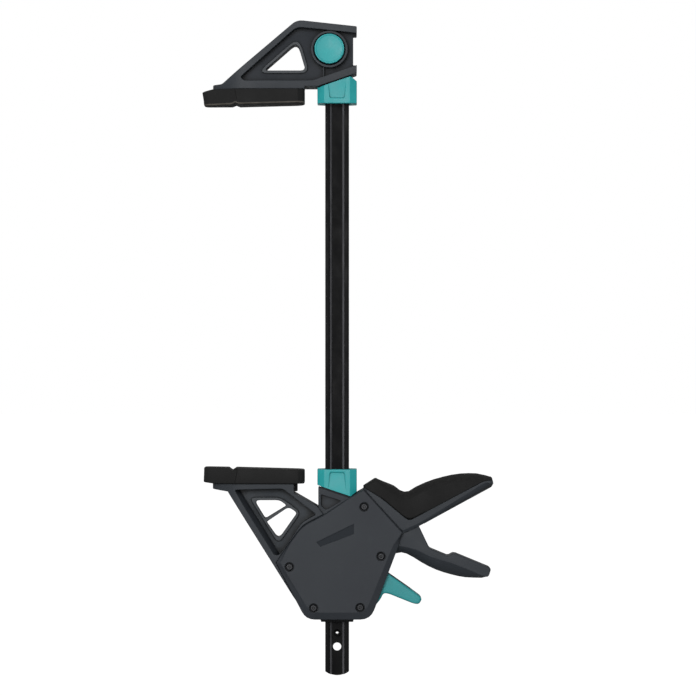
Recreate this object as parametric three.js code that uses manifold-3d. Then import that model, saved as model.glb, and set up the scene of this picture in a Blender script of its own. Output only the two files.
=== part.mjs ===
import * as THREE from 'three';
import { mergeVertices } from 'three/addons/utils/BufferGeometryUtils.js';
import Module from 'manifold-3d';

const wasm = await Module();
wasm.setup();

// One-handed bar clamp, in millimetres. The bar stands along Z and the jaws reach towards -X.
// Lengths are measured from the bar's axis (X and Y) and from the clamping face of each pad (Z).

// Fits that neighbouring pieces share
const fitGap = 0.3;
const slideGap = 0.45;
const overrun = 2;
const edgeShare = 0.48;
const edgeTurnShare = 1 - Math.SQRT1_2;
const rollLevelShares = [0, 0.09, 0.32, 1];

// Bar
const barLength = 524.7;
const barAboveFace = 57.5;
const barWidth = 19.5;
const barThickness = 9.5;
const barFlange = 4.85;
const barWeb = 3;
const barEdgeRound = 0.9;
const barFlangeRound = 1.4;
const barFlankShare = 0.2;
const barFootBulge = 3.5;
const lockHoleDiameter = 6.8;
const topHoleInset = 12.9;
const footHoleInset = 23.4;
const stopPinInset = 34.8;
const stopPinDiameter = 5;
const stopPinBore = 2.9;
const stopPinSlot = 0.5;
const stopPinLength = 12.4;

// Pads, alike but for the place of their V notch
const padLength = 82.2;
const padHeelX = 26.6;
const padThickness = 12;
const padHeelWidth = 36;
const padTipWidth = 20;
const padFaceChamfer = 1.2;
const padToeSlope = 0.027;
const fixedNotchFromTip = 26.6;
const movingNotchFromTip = 24.3;
const notchWidth = 6;
const notchDepth = 1.8;
const padTongueWidth = 14;
const padTongueDepth = 5;
const padClipWidth = 12;
const padClipThickness = 2.6;
const padClipLength = 6.8;
const padPlanShares = [
  // along the pad from its heel, half width
  [0, 0.78, 0.02], [0.065, 1, 0.03], [0.66, 1, 0.05], [0.745, 0.85, 0.05],
];

// Guide collars, alike but for the end of the panel on each face
const collarInset = 0.6;
const collarHalfWidth = 16.1;
const collarDepth = 26;
const collarShortSide = 12.7;
const collarSlope = 0.34;
const collarPeakX = 11.2;
const collarPeakCut = 3.9;
const collarCornerX = 5.6;
const collarCornerY = 3.4;
const collarReveal = 1.3;
const collarRevealInset = 2.2;
const collarPanelDepth = 1.1;
const upperPanelEnd = 4.1;
const lowerPanelEnd = 2.1;
const collarPanelShares = [
  // of the collar's half width, of the height from the panel's end to the slanted end
  [-0.45, 0.84], [-0.385, 0.08], [-0.33, 0], [0.34, 0], [0.39, 0.08], [0.46, 1.08],
];
const collarPanelFloorShares = [
  [-0.37, 0.11], [-0.36, 0.08], [-0.31, 0.03], [0.32, 0.03], [0.36, 0.08], [0.37, 0.11],
];

// Fixed jaw
const jawThickness = 30;
const fixedReach = 101.7;
const fixedHeight = 56;
const barWallX = 3.1;
const barWallY = 2;
const ribOverhang = 2.9;
const seatRib = 7.6;
const windowLip = 2.4;
const windowLipRise = 1.6;
const footTipWidth = 12;
const fixedTopShares = [
  // of the jaw's reach, of its height over the foot, and the corner's round of that height
  [-1, 0, 0], [-1, 0.064, 0.02], [-0.926, 0.072, 0.03], [-0.323, 1, 0.09],
];
const fixedCrownBackShare = 0.905;
const fixedNubShares = [0.78, 0.35];
const fixedPocketShares = [
  [-0.323, 0.9, 0.09], [-0.775, 0.17, 0.02], [-0.748, 0.12, 0.03], [-0.195, 0.12, 0.06],
];
const fixedPocketBackShare = 0.805;
const fixedWindowShares = [[-0.585, 0.274, 0.06], [-0.251, 0.274, 0.08], [-0.32, 0.695, 0.12]];

// Lock button, its yoke, pin and spring
const buttonOffset = 6.3;
const buttonDiameter = 24.4;
const buttonThickness = 4;
const buttonProud = 2.2;
const buttonGap = 0.9;
const buttonTravel = 3.5;
const buttonEdge = 0.9;
const bossWall = 2;
const bossInset = 1;
const bossBackWall = 2;
const bossRibX = 11;
const bossRibWidth = 1.1;
const bossRibDrop = 4;
const yokeThickness = 3.2;
const yokeHeight = 10;
const yokeReach = 3.9;
const lockPinDiameter = 6.2;
const buttonSpringRadius = 3.7;
const buttonSpringWire = 0.6;
const buttonSpringTurns = 2.5;

// Moving jaw: arm, bracket, housing
const restOpening = 297.6;
const movingReach = 101.9;
const movingHeight = 122.9;
const housingWidth = 100;
const housingDepth = 34;
const housingWall = 3.6;
const coverThickness = 3.6;
const coverBevelWidth = 6;
const coverBevelDepth = 2.6;
const armWeb = 10;
const armPocketDraft = 4.4;
const legEndShare = 0.7;
const bracketDepth = 26;
const bracketWallX = 5.6;
const bracketPocketDepth = 3;
const footFlange = 6.3;
const footTipFlange = 4.4;
const footEndX = 35.3;
const housingShares = [
  // of the housing's width, of the jaw's height, and the corner's round of that height
  [0.217, -0.135, 0], [0.086, -0.197, 0], [-0.11, -0.303, 0], [-0.285, -0.378, 0.05],
  [-0.383, -0.484, 0.05], [-0.497, -0.622, 0], [-0.254, -1, 0.06], [0.273, -1, 0.07],
  [0.501, -0.512, 0.03], [0.507, -0.472, 0.03], [0.539, -0.422, 0],
];
const coverBevelShares = [0.13, 0.13, 0.13, 0.13, 0.13, 0.5, 1, 1, 0.75, 0.25, 0.13];
const armPocketShares = [
  [-0.828, -0.139, 0.015], [-0.435, -0.131, 0.02], [-0.166, -0.302, 0.015], [-0.281, -0.356, 0.03],
  [-0.376, -0.477, 0.02], [-0.452, -0.567, 0.03], [-0.5, -0.575, 0.03],
];
const armLipShares = [
  [-0.705, -0.192, 0.04], [-0.451, -0.192, 0.04], [-0.29, -0.292, 0.04], [-0.471, -0.505, 0.05],
];
const armWindowShares = [
  [[-0.67, -0.211, 0.045], [-0.461, -0.211, 0.025], [-0.404, -0.247, 0.018], [-0.578, -0.335, 0.016]],
  [[-0.569, -0.357, 0.014], [-0.39, -0.257, 0.025], [-0.32, -0.295, 0.024], [-0.471, -0.472, 0.042]],
];
const bracketPocketShares = [
  [-0.13, -0.17, 0.01], [0.035, -0.213, 0.01], [-0.092, -0.274, 0.015], [-0.13, -0.245, 0.01],
];
const coverRecessShares = [[-0.165, -0.486], [0.135, -0.366], [0.135, -0.43], [-0.135, -0.514]];
const coverRecessDepth = 0.5;

// Bush where the bar leaves the housing
const bushWallX = 3;
const bushWallY = 3.4;
const bushHeight = 8;
const bushLip = 2;
const bushLipOut = 0.6;

// Cover screws
const screwHeadDiameter = 6.4;
const screwHeadHeight = 1.7;
const screwShankDiameter = 3;
const screwLength = 12;
const screwSocketDiameter = 2.8;
const screwSocketDepth = 1;
const screwRecessDiameter = 7.6;
const screwBossDiameter = 8;
const screwShares = [
  [0.221, -0.251], [-0.388, -0.649], [-0.191, -0.922], [0.188, -0.919], [0.358, -0.579],
];

// Handle frame and its soft pad
const gripReach = 127.8;
const gripDrop = 53;
const gripThickness = 28;
const gripEdge = 2.6;
const gripTopRoll = 7.5;
const gripUndersideRoll = 6.5;
const gripPadWall = 3.6;
const gripCoreThickness = 18.6;
const gripShares = [
  // of the handle's reach, of its drop below the pad's face, and the corner's round of that drop
  [0.167, -0.274, 0], [0.245, -0.153, 0.02], [0.36, -0.26, 0.1], [0.436, -0.39, 0.22], [0.561, -0.223, 0.3],
  [0.68, -0.13, 0.3], [0.793, -0.081, 0.3], [0.894, -0.077, 0.2], [0.991, -0.138, 0.02], [1, -0.24, 0.06],
  [0.992, -0.289, 0.04], [0.526, -0.889, 0.1], [0.42, -1, 0], [0.31, -0.83, 0], [0.18, -0.5, 0],
];
const gripPartShares = [
  [0.1, -0.215], [0.181, -0.302], [0.283, -0.451, 0.1], [0.424, -0.736, 0.05], [0.461, -0.8, 0.08],
  [0.51, -0.735, 0.05], [0.932, -0.196, 0.05], [1.1, -0.13],
];

// Trigger and its pin
const triggerPivotShares = [0.44, -0.447];
const triggerReach = 81.2;
const triggerDrop = 34.9;
const triggerThickness = 22;
const triggerEdge = 1.5;
const triggerHubThickness = 22;
const triggerHubRadius = 24.1;
const triggerPinDiameter = 5;
const triggerGap = 0.6;
const noseReach = 22.25;
const noseRadius = 3.2;
const noseDrop = 2.5;
const triggerFingerShares = [
  // of the trigger's reach from its pin, of its drop, and the corner's round of that drop
  [0.136, -0.11, 0], [0.36, -0.11, 0], [0.389, -0.285, 0.05], [0.563, -0.47, 0.08], [0.629, -0.4, 0.1],
  [0.996, -0.74, 0.06], [1, -0.82, 0.1], [0.965, -1, 0.2], [0.75, -1, 0.4], [0.52, -0.87, 0.5],
  [0.25, -0.56, 0.5], [0.1, -0.39, 0.2], [0.06, -0.27, 0],
];
const triggerRollShares = [0, 0, 0, 0, 0, 0, 0, 0.04, 0.2, 0.29, 0.27, 0.17, 0];
const triggerHubBackShares = [
  [0.383, -0.27, 0], [0.2, -0.42, 0.1], [0.048, -0.433, 0], [-0.05, -0.32, 0.1], [-0.14, -0.15, 0.05],
  [-0.19, -0.062, 0],
];
const triggerHubTopShares = [[-0.1, 0.25, 0.1], [0.06, 0.33, 0.1]];
const triggerHubArcDegrees = [18.4, 32];
const triggerSqueezeDegrees = 26;

// Drive plates and their spring
const plateThickness = 2.5;
const plateDepth = 18;
const plateBackX = 7.2;
const plateLipX = 6;
const plateGap = 0.5;
const plateStopHeight = 4.6;
const driveSpringWire = 1.4;
const driveSpringTurns = 6;
const driveSpringLength = 22.6;
const springSeatThickness = 3;

// Brake plate, release lever, their spring and pin
const leverPivotShares = [0.325, -0.764];
const leverReach = 36.8;
const leverDrop = 17.2;
const leverThickness = 18;
const leverEdge = 1.6;
const leverPinDiameter = 4;
const leverNoseRadius = 2.5;
const leverNoseReach = 12.5;
const leverNoseDrop = 3;
const leverStripThickness = 1.4;
const leverStripWidth = 14;
const leverShares = [
  [0.245, 0.483, 0], [0.734, -0.25, 0], [0.957, -0.605, 0.2], [1, -0.744, 0.1], [0.935, -1, 0.18],
  [0.8, -0.95, 0.2], [0.275, -0.5, 0.1], [0.15, -0.45, 0.25], [0.08, -0.75, 0.1], [-0.014, -1, 0.04],
  [-0.1, -0.81, 0], [-0.12, -0.3, 0.1], [-0.22, -0.13, 0.02],
];
const leverTopShares = [[-0.08, 0.26, 0.05], [0.05, 0.45, 0.1]];
const leverTravelDegrees = 12.5;
const brakePlateThickness = 3.5;
const brakePlateDepth = 18;
const brakeHingeX = 10.2;
const brakeTailX = 1.5;
const brakeLipX = 3;
const brakeTiltDegrees = 4.5;
const brakeNotchGap = 0.7;
const brakeHoleGap = 1;
const brakeLugX = 5;
const brakeLugZ = 4;
const brakeSpringRadius = 3.2;
const brakeSpringWire = 0.8;
const brakeSpringTurns = 3.5;
const brakeSpringOffset = 7.9;
const pivotBossWall = 2.6;
const pinSeat = 1.8;

const finishes = {
  body: { color: 0x3e4145, roughness: 0.6, metalness: 0 },
  soft: { color: 0x262626, roughness: 0.85, metalness: 0 },
  accent: { color: 0x46a8a8, roughness: 0.5, metalness: 0 },
  blackSteel: { color: 0x1c1c1e, roughness: 0.45, metalness: 0.5 },
  steel: { color: 0x9a9da0, roughness: 0.35, metalness: 1 },
};

// Shapes

function solidFrom(geometry) {
  const bare = geometry.clone();
  bare.deleteAttribute('normal');
  bare.deleteAttribute('uv');
  const welded = mergeVertices(bare);
  const index = welded.index.array;
  const triangles = [];
  for (let i = 0; i < index.length; i += 3) {
    const [a, b, c] = [index[i], index[i + 1], index[i + 2]];
    if (a !== b && b !== c && c !== a) triangles.push(a, b, c);
  }
  return new wasm.Manifold(new wasm.Mesh({
    numProp: 3,
    vertProperties: new Float32Array(welded.attributes.position.array),
    triVerts: new Uint32Array(triangles),
  }));
}

function geometryFrom(solid) {
  const mesh = solid.getMesh();
  const geometry = new THREE.BufferGeometry();
  geometry.setAttribute('position', new THREE.BufferAttribute(mesh.vertProperties, mesh.numProp));
  geometry.setIndex(new THREE.BufferAttribute(mesh.triVerts, 1));
  geometry.computeVertexNormals();
  return geometry;
}

function join(...solids) {
  return solids.reduce((whole, piece) => whole.add(piece));
}

function cut(solid, ...tools) {
  return tools.reduce((left, tool) => left.subtract(tool), solid);
}

// Turns rows of shares into corners [x, z, round].
function scaled(shares, width, height) {
  return shares.map(([x, z, round = 0]) => [x * width, z * height, round * height]);
}

// The other half of a symmetrical outline, in the order that carries it on.
function flipped(corners, alongX, alongY) {
  return corners.map(([x, y, round]) => [alongX * x, alongY * y, round]).reverse();
}

// Replaces each corner that has a round by a short curve, which takes less than half of each edge.
function rounded(corners, steps = 4) {
  const points = [];
  corners.forEach(([x, z, round = 0], i) => {
    const corner = new THREE.Vector2(x, z);
    const last = new THREE.Vector2(...corners[(i + corners.length - 1) % corners.length]);
    const next = new THREE.Vector2(...corners[(i + 1) % corners.length]);
    if (round === 0) {
      points.push(corner);
      return;
    }
    const back = last.sub(corner);
    const on = next.sub(corner);
    const reach = Math.min(round, back.length() * edgeShare, on.length() * edgeShare);
    const start = corner.clone().add(back.setLength(reach));
    const end = corner.clone().add(on.setLength(reach));
    points.push(...new THREE.QuadraticBezierCurve(start, corner, end).getPoints(steps));
  });
  return points;
}

// Moves the edges of a closed outline inwards. A list gives the distance at each corner.
function inset(corners, distance) {
  const side = Math.sign(THREE.ShapeUtils.area(corners.map(([x, y]) => new THREE.Vector2(x, y))));
  const normals = corners.map(([x, y], i) => {
    const [nextX, nextY] = corners[(i + 1) % corners.length];
    return new THREE.Vector2(y - nextY, nextX - x).normalize().multiplyScalar(side);
  });
  return corners.map(([x, y, round = 0], i) => {
    const before = normals[(i + normals.length - 1) % normals.length];
    const middle = before.clone().add(normals[i]).normalize();
    const by = (Array.isArray(distance) ? distance[i] : distance) / middle.dot(before);
    return [x + middle.x * by, y + middle.y * by, round];
  });
}

// Moves an outline outwards and keeps its corner curves side by side with the first ones.
function widened(corners, distance) {
  return inset(corners, -distance).map(([x, z, round], i) => {
    const moved = Math.hypot(x - corners[i][0], z - corners[i][1]);
    return [x, z, round + Math.sqrt(moved ** 2 - distance ** 2)];
  });
}

// An outline in X and Z, extruded along Y from near to far.
function plate(corners, near, far) {
  const shape = new THREE.Shape(rounded(corners));
  const geometry = new THREE.ExtrudeGeometry(shape, { depth: far - near, bevelEnabled: false });
  geometry.rotateX(Math.PI / 2);
  geometry.translate(0, far, 0);
  return solidFrom(geometry);
}

// Outlines of equal count, each at its own level, joined by straight walls.
// toPoint turns (u, v, level) into x, y, z.
function loft(sections, toPoint) {
  const outlines = sections.map(({ outline }) => {
    const points = rounded(outline);
    return THREE.ShapeUtils.area(points) < 0 ? points.reverse() : points;
  });
  const count = outlines[0].length;
  const last = outlines.length - 1;
  const positions = outlines.flatMap((points, i) => (
    points.flatMap((p) => toPoint(p.x, p.y, sections[i].level))
  ));
  const triangles = [];
  for (let ring = 0; ring < last; ring += 1) {
    for (let i = 0; i < count; i += 1) {
      const a = ring * count + i;
      const b = ring * count + (i + 1) % count;
      triangles.push(a, b, b + count, a, b + count, a + count);
    }
  }
  const cap = (ring) => THREE.ShapeUtils.triangulateShape(outlines[ring], []);
  cap(0).forEach(([a, b, c]) => triangles.push(a, c, b));
  cap(last).forEach((corners) => triangles.push(...corners.map((corner) => last * count + corner)));
  const axes = [[1, 0, 0], [0, 1, 0], [0, 0, sections[last].level - sections[0].level]];
  const [u, v, rise] = axes.map((axis) => new THREE.Vector3(...toPoint(...axis)));
  const geometry = new THREE.BufferGeometry();
  geometry.setAttribute('position', new THREE.Float32BufferAttribute(positions, 3));
  geometry.setIndex(u.cross(v).dot(rise) > 0 ? triangles : triangles.reverse());
  return solidFrom(geometry);
}

function loftAlongY(sections) {
  return loft(sections, (x, z, level) => [x, level, z]);
}

// A plate whose long edges are rounded off by about edge.
function softPlate(corners, near, far, edge) {
  const side = [[1, 0], [edgeTurnShare, edgeTurnShare], [0, 1]];
  const half = side.map(([inwards, along]) => (
    { outline: inset(corners, inwards * edge), along: along * edge }
  ));
  return loftAlongY([
    ...half.map(({ outline, along }) => ({ outline, level: near + along })),
    ...half.toReversed().map(({ outline, along }) => ({ outline, level: far - along })),
  ]);
}

// How far inside its outline an edge lies, at a level below the face, that is rolled off over a depth.
function rollInset([width, depth], level) {
  const share = Math.max(0, 1 - level / depth);
  return width * (1 - Math.sqrt(1 - share ** 2));
}

// A plate about the middle. Each corner of its outline has the width and depth of its own roll.
function rolledPlate(corners, half, rolls) {
  const side = rollLevelShares.map((share) => ({
    outline: inset(corners, rolls.map((roll) => rollInset(roll, share * half))),
    level: (share - 1) * half,
  }));
  const other = side.slice(0, -1).map(({ outline, level }) => ({ outline, level: -level }));
  return loftAlongY([...side, ...other.reverse()]);
}

function loftAlongZ(sections) {
  return loft(sections, (x, y, level) => [x, y, level]);
}

function block([lowX, highX], [lowY, highY], [lowZ, highZ]) {
  const geometry = new THREE.BoxGeometry(highX - lowX, highY - lowY, highZ - lowZ);
  geometry.translate((lowX + highX) / 2, (lowY + highY) / 2, (lowZ + highZ) / 2);
  return solidFrom(geometry);
}

function evenly(half, shift = 0) {
  return [shift - half, shift + half];
}

// A round rod along Y.
function rod(diameter, near, far, [x, z], sides = 20) {
  const geometry = new THREE.CylinderGeometry(diameter / 2, diameter / 2, far - near, sides);
  geometry.translate(x, (near + far) / 2, z);
  return solidFrom(geometry);
}

class Helix extends THREE.Curve {
  constructor(radius, length, turns) {
    super();
    Object.assign(this, { radius, length, turns });
  }

  getPoint(t, target = new THREE.Vector3()) {
    const angle = t * this.turns * 2 * Math.PI;
    return target.set(this.radius * Math.cos(angle), this.radius * Math.sin(angle), this.length * t);
  }
}

// A coil along Z whose wire stays between 0 and length.
function coil(radius, wire, length, turns) {
  const path = new Helix(radius, length - wire, turns);
  const round = new THREE.EllipseCurve(0, 0, wire / 2, wire / 2);
  const section = new THREE.Shape(round.getPoints(6).slice(0, 6));
  const steps = Math.ceil(turns * 12);
  const geometry = new THREE.ExtrudeGeometry(section, { steps, extrudePath: path });
  geometry.translate(0, 0, wire / 2);
  return geometry;
}

function mesh(name, geometry, finish) {
  const made = new THREE.Mesh(geometry, new THREE.MeshStandardMaterial(finishes[finish]));
  made.name = name;
  return made;
}

function piece(name, solid, finish) {
  return mesh(name, geometryFrom(solid), finish);
}

function turnedAbout(solid, [x, z], degrees) {
  return solid.translate([-x, 0, -z]).rotate([0, degrees, 0]).translate([x, 0, z]);
}

// Places that several pieces share

const halfBar = barWidth / 2;
const barTop = barAboveFace;
const barFoot = barTop - barLength;
const lockHoleZ = barTop - topHoleInset;
const button = [-buttonOffset, lockHoleZ];
const boreDiameter = buttonDiameter + 2 * buttonGap;
const yokeBack = barThickness / 2 + slideGap + yokeThickness;
const boreEnd = yokeBack + buttonTravel + 2 * buttonSpringWire + fitGap;
const coverBack = -(housingDepth / 2 - coverThickness);
const coverSeat = coverBack + fitGap;
const cavityDepth = housingDepth / 2 - housingWall;
const pinEnd = cavityDepth + pinSeat;
const housing = scaled(housingShares, housingWidth, movingHeight);
const cavity = inset(housing, housingWall + fitGap);
const bevelled = inset(housing, coverBevelShares.map((share) => share * coverBevelWidth));
const place = ([x, z]) => [x * housingWidth, z * movingHeight];
const screws = screwShares.map(place);
const trigger = place(triggerPivotShares);
const lever = place(leverPivotShares);
const noseX = trigger[0] - noseReach;
const plateTop = trigger[1] - noseDrop - plateGap;
const plateBottom = plateTop - 2 * plateThickness - fitGap;
const springSeat = plateBottom - driveSpringLength - 2 * fitGap;
const brakeContactX = lever[0] - leverNoseReach;
const brakeTilt = THREE.MathUtils.degToRad(brakeTiltDegrees);
const brakeHinge = [-(halfBar + brakeHingeX), 0];
brakeHinge[1] = lever[1] - leverNoseDrop - plateGap - brakePlateThickness / 2 / Math.cos(brakeTilt)
  - (brakeContactX - brakeHinge[0]) * Math.tan(brakeTilt);
const brakeSpringX = halfBar + brakeSpringOffset;
const brakeSpringTop = brakeHinge[1] - brakePlateThickness / 2 - fitGap
  + (brakeSpringX - brakeSpringRadius - brakeHinge[0]) * Math.tan(brakeTilt);
const brakeSpringSeat = screws[3][1] + screwBossDiameter / 2 + fitGap;

// How far the collar's slanted end lies from its flat end.
function collarHeight(x) {
  return collarShortSide + collarSlope * (x + collarHalfWidth);
}

// Bar and its stop pin

function barSolid() {
  const web = barWeb / 2;
  const deep = barThickness / 2;
  const neck = halfBar - barFlange;
  const flank = (deep - web) * barFlankShare;
  const quarter = [
    [neck - flank, web, barEdgeRound / 2], [neck + flank, deep, barFlangeRound],
    [halfBar, deep, barEdgeRound],
  ];
  const right = [...quarter, ...flipped(quarter, 1, -1)];
  const section = new THREE.Shape(rounded([...right, ...flipped(right, -1, 1)], 2));
  const rail = new THREE.ExtrudeGeometry(section, { depth: barLength, bevelEnabled: false });
  rail.translate(0, 0, barFoot);
  const foot = new THREE.QuadraticBezierCurve(
    new THREE.Vector2(-halfBar, barFoot + barFootBulge),
    new THREE.Vector2(0, barFoot - barFootBulge),
    new THREE.Vector2(halfBar, barFoot + barFootBulge),
  ).getPoints(10).map((p) => [p.x, p.y]);
  const sheet = plate([...foot, [halfBar, barTop], [-halfBar, barTop]], -barThickness, barThickness);
  const holes = [
    rod(lockHoleDiameter, -barThickness, barThickness, [0, lockHoleZ]),
    rod(lockHoleDiameter, -barThickness, barThickness, [0, barFoot + footHoleInset]),
    rod(stopPinDiameter + fitGap, -barThickness, barThickness, [0, barFoot + stopPinInset]),
  ];
  return cut(solidFrom(rail).intersect(sheet), ...holes);
}

function stopPinSolid() {
  const centre = [0, barFoot + stopPinInset];
  const half = stopPinLength / 2;
  const tube = cut(
    rod(stopPinDiameter - fitGap, -half, half, centre, 20),
    rod(stopPinBore, -half - overrun, half + overrun, centre, 16),
  );
  const slotHeight = [centre[1], centre[1] + stopPinDiameter];
  const slot = block(evenly(stopPinSlot / 2), evenly(half + overrun), slotHeight);
  return cut(tube, slot);
}

// Pads: the face lies at Z = 0 and looks down, and the jaw's foot rests on the top.

function padPlan(grow) {
  const half = padHeelWidth / 2;
  const heel = scaled(padPlanShares, 1, 1).map(([along, share, round]) => (
    [-padHeelX - along * padLength, share * half, round * padLength]
  ));
  const tip = [-padHeelX - padLength, padTipWidth / 2, padTipWidth / 4];
  const side = [...heel, tip];
  const outline = [...side, ...flipped(side, 1, -1)];
  return grow === 0 ? outline : inset(outline, -grow);
}

function padSolid(notchFromTip) {
  const middle = -padHeelX - padLength / 2;
  const face = (x) => (x - middle) * padToeSlope;
  const tipX = -padHeelX - padLength - overrun;
  const notchX = -padHeelX - padLength + notchFromTip;
  const profile = [
    [tipX, padThickness], [tipX, face(tipX)], [notchX - notchWidth / 2, face(notchX - notchWidth / 2)],
    [notchX, face(notchX) + notchDepth], [notchX + notchWidth / 2, face(notchX + notchWidth / 2)],
    [-padHeelX + overrun, face(-padHeelX + overrun)], [-padHeelX + overrun, padThickness],
  ];
  const prism = loftAlongZ([
    { outline: padPlan(-padFaceChamfer), level: face(tipX) },
    { outline: padPlan(0), level: padFaceChamfer },
    { outline: padPlan(0), level: padThickness },
  ]);
  const body = prism.intersect(plate(profile, -padHeelWidth, padHeelWidth));
  const tongue = tongueSolid(fitGap);
  const clip = block(
    [-footEndX + fitGap, -footEndX + fitGap + padClipThickness],
    evenly(padClipWidth / 2),
    [padThickness - overrun, padThickness + padClipLength],
  );
  return join(cut(body, tongue), clip);
}

// The jaw's tongue that the pad is pushed on, or the space for it.
function tongueSolid(gap) {
  const tip = padHeelX + padLength - padTipWidth;
  return block(
    [-tip - gap, -footEndX - padClipThickness + gap],
    evenly(padTongueWidth / 2 + gap),
    [padThickness - padTongueDepth - gap, padThickness + fitGap + overrun],
  );
}

// The foot's plan: narrower than the pad, with the same taper.
function footPlan(reach) {
  const half = jawThickness / 2;
  const taper = reach - padTipWidth;
  const heel = collarHalfWidth + overrun;
  return [
    [heel, half], [-taper, half, half / 2], [-reach, footTipWidth / 2, footTipWidth / 2],
    [-reach, -footTipWidth / 2, footTipWidth / 2], [-taper, -half, half / 2], [heel, -half],
  ];
}

// Collars: the flat end lies at Z = 0 and the slanted end above it.

function collarProfile() {
  const half = collarHalfWidth;
  const peak = collarHeight(collarPeakX);
  return [
    [-half, 0], [-half, collarShortSide], [collarPeakX, peak], [half, peak - collarPeakCut], [half, 0],
  ];
}

function collarSolid(panelEnd) {
  const half = collarHalfWidth;
  const deep = collarDepth / 2;
  const plan = [
    [-half, deep - collarCornerY], [-half + collarCornerX, deep], [half - collarCornerX, deep],
    [half, deep - collarCornerY], [half, collarCornerY - deep], [half - collarCornerX, -deep],
    [-half + collarCornerX, -deep], [-half, collarCornerY - deep],
  ];
  const top = collarHeight(half) + overrun;
  const body = plate(collarProfile(), -deep, deep).intersect(loftAlongZ([
    { outline: plan, level: -overrun },
    { outline: plan, level: top },
  ]));
  const [panel, floor] = [collarPanelShares, collarPanelFloorShares].map((shares) => (
    scaled(shares, half, collarHeight(0) - panelEnd).map(([x, z]) => [x, z + panelEnd])
  ));
  const panels = [-1, 1].map((front) => loftAlongY([
    { outline: panel, level: front * (deep + overrun) },
    { outline: panel, level: front * deep },
    { outline: floor, level: front * (deep - collarPanelDepth) },
  ]));
  return cut(body, barSpace(slideGap, [-overrun, top]), ...panels);
}

function barSpace(gap, levels) {
  return block(evenly(halfBar + gap), evenly(barThickness / 2 + gap), levels);
}

// Fixed jaw

function fixedJawSolid() {
  const half = jawThickness / 2;
  const web = barThickness / 2 + fitGap + barWallY;
  const foot = padThickness + fitGap;
  const backWall = halfBar + fitGap + barWallX;
  const nub = backWall + ribOverhang;
  const level = (share) => foot + share * fixedHeight;
  const lift = (corners) => corners.map(([x, z, round]) => [x, z + foot, round]);
  const seat = (x) => collarInset + collarHeight(x) + fitGap;
  const rim = (x) => seat(x) + collarReveal / 2;
  const seatLeft = collarRevealInset - collarHalfWidth;
  const top = lift(scaled(fixedTopShares, fixedReach, fixedHeight));
  const outline = [
    ...top,
    [nub, level(fixedCrownBackShare), barEdgeRound], [nub, level(fixedNubShares[0]), barEdgeRound],
    [backWall, level(fixedNubShares[0])], [backWall, level(fixedNubShares[1])],
    [nub, level(fixedNubShares[1]), barEdgeRound], [nub, rim(nub), barEdgeRound],
    [-collarHalfWidth, rim(-collarHalfWidth)], [-padHeelX, rim(-collarHalfWidth)], [-padHeelX, foot],
  ];
  const pocket = [
    ...lift(scaled(fixedPocketShares, fixedReach, fixedHeight)),
    [nub + overrun, seat(nub) + seatRib], [nub + overrun, level(fixedPocketBackShare)],
  ];
  const windowCorners = lift(scaled(fixedWindowShares, fixedReach, fixedHeight));
  const body = plate(outline, -half, half).intersect(loftAlongZ([
    { outline: footPlan(fixedReach), level: -overrun },
    { outline: footPlan(fixedReach), level: level(1) + overrun },
  ]));
  const hollowed = cut(body, plate(pocket, -half - overrun, -web), plate(pocket, web, half + overrun));
  const bossDiameter = boreDiameter + 2 * bossWall;
  const ribHeight = [foot + seatRib, level(1) - seatRib];
  const seatCore = [
    [seatLeft, seat(seatLeft)], [collarPeakX, seat(collarPeakX)],
    [collarPeakX, seat(collarPeakX) + seatRib / 2], [seatLeft, seat(seatLeft) + seatRib / 2],
  ];
  const coreHalf = collarDepth / 2 - collarRevealInset;
  const solid = join(
    hollowed,
    plate(seatCore, -coreHalf, coreHalf),
    plate(widened(windowCorners, windowLip), -web - windowLipRise, web + windowLipRise),
    rod(bossDiameter, -half + bossInset, boreEnd + bossBackWall, button, 40),
    block(evenly(bossRibWidth / 2, -bossRibX), evenly(half - bossRibDrop), ribHeight),
    tongueSolid(0).translate([0, 0, -fitGap]).intersect(
      block([-fixedReach, 0], evenly(half), [0, foot + overrun]),
    ),
  );
  const clipSpace = block(
    [-footEndX, -footEndX + 2 * fitGap + padClipThickness],
    evenly(padClipWidth / 2 + fitGap),
    [-overrun, padThickness + padClipLength + fitGap],
  );
  return cut(
    solid,
    plate(windowCorners, -half, half),
    rod(boreDiameter, -half - overrun, boreEnd, button, 40),
    barSpace(fitGap, [-overrun, barTop + fitGap]),
    clipSpace,
  );
}

// Lock button: a disc in front of the bar, a leg past its edge and an arm behind it that carries the pin.

function lockButtonSolid() {
  const front = -jawThickness / 2 + bossInset - buttonProud;
  const legX = -(halfBar + slideGap);
  const radius = buttonDiameter / 2;
  const profile = [
    [0, 0], [radius - buttonEdge, 0], [radius, buttonEdge], [radius, buttonThickness],
    [0, buttonThickness],
  ];
  const disc = new THREE.LatheGeometry(profile.map((at) => new THREE.Vector2(...at)), 40);
  disc.translate(button[0], front, button[1]);
  const height = evenly(yokeHeight / 2, button[1]);
  const legDepth = [front + buttonThickness - buttonEdge, yokeBack];
  const leg = block([legX - yokeThickness, legX], legDepth, height);
  const depth = [yokeBack - yokeThickness, yokeBack];
  const arm = block([legX - yokeThickness, yokeReach + buttonEdge], depth, height);
  const hole = rod(lockPinDiameter + fitGap, 0, yokeBack + overrun, [0, lockHoleZ]);
  return cut(join(solidFrom(disc), leg, arm), hole);
}

function lockPinSolid() {
  return rod(lockPinDiameter - fitGap, -barWeb / 2, yokeBack, [0, lockHoleZ]);
}

// Moving jaw, from the clamping face of its own pad, which lies at Z = 0 and looks up.

function gripOutline() {
  return scaled(gripShares, gripReach, gripDrop);
}

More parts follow.
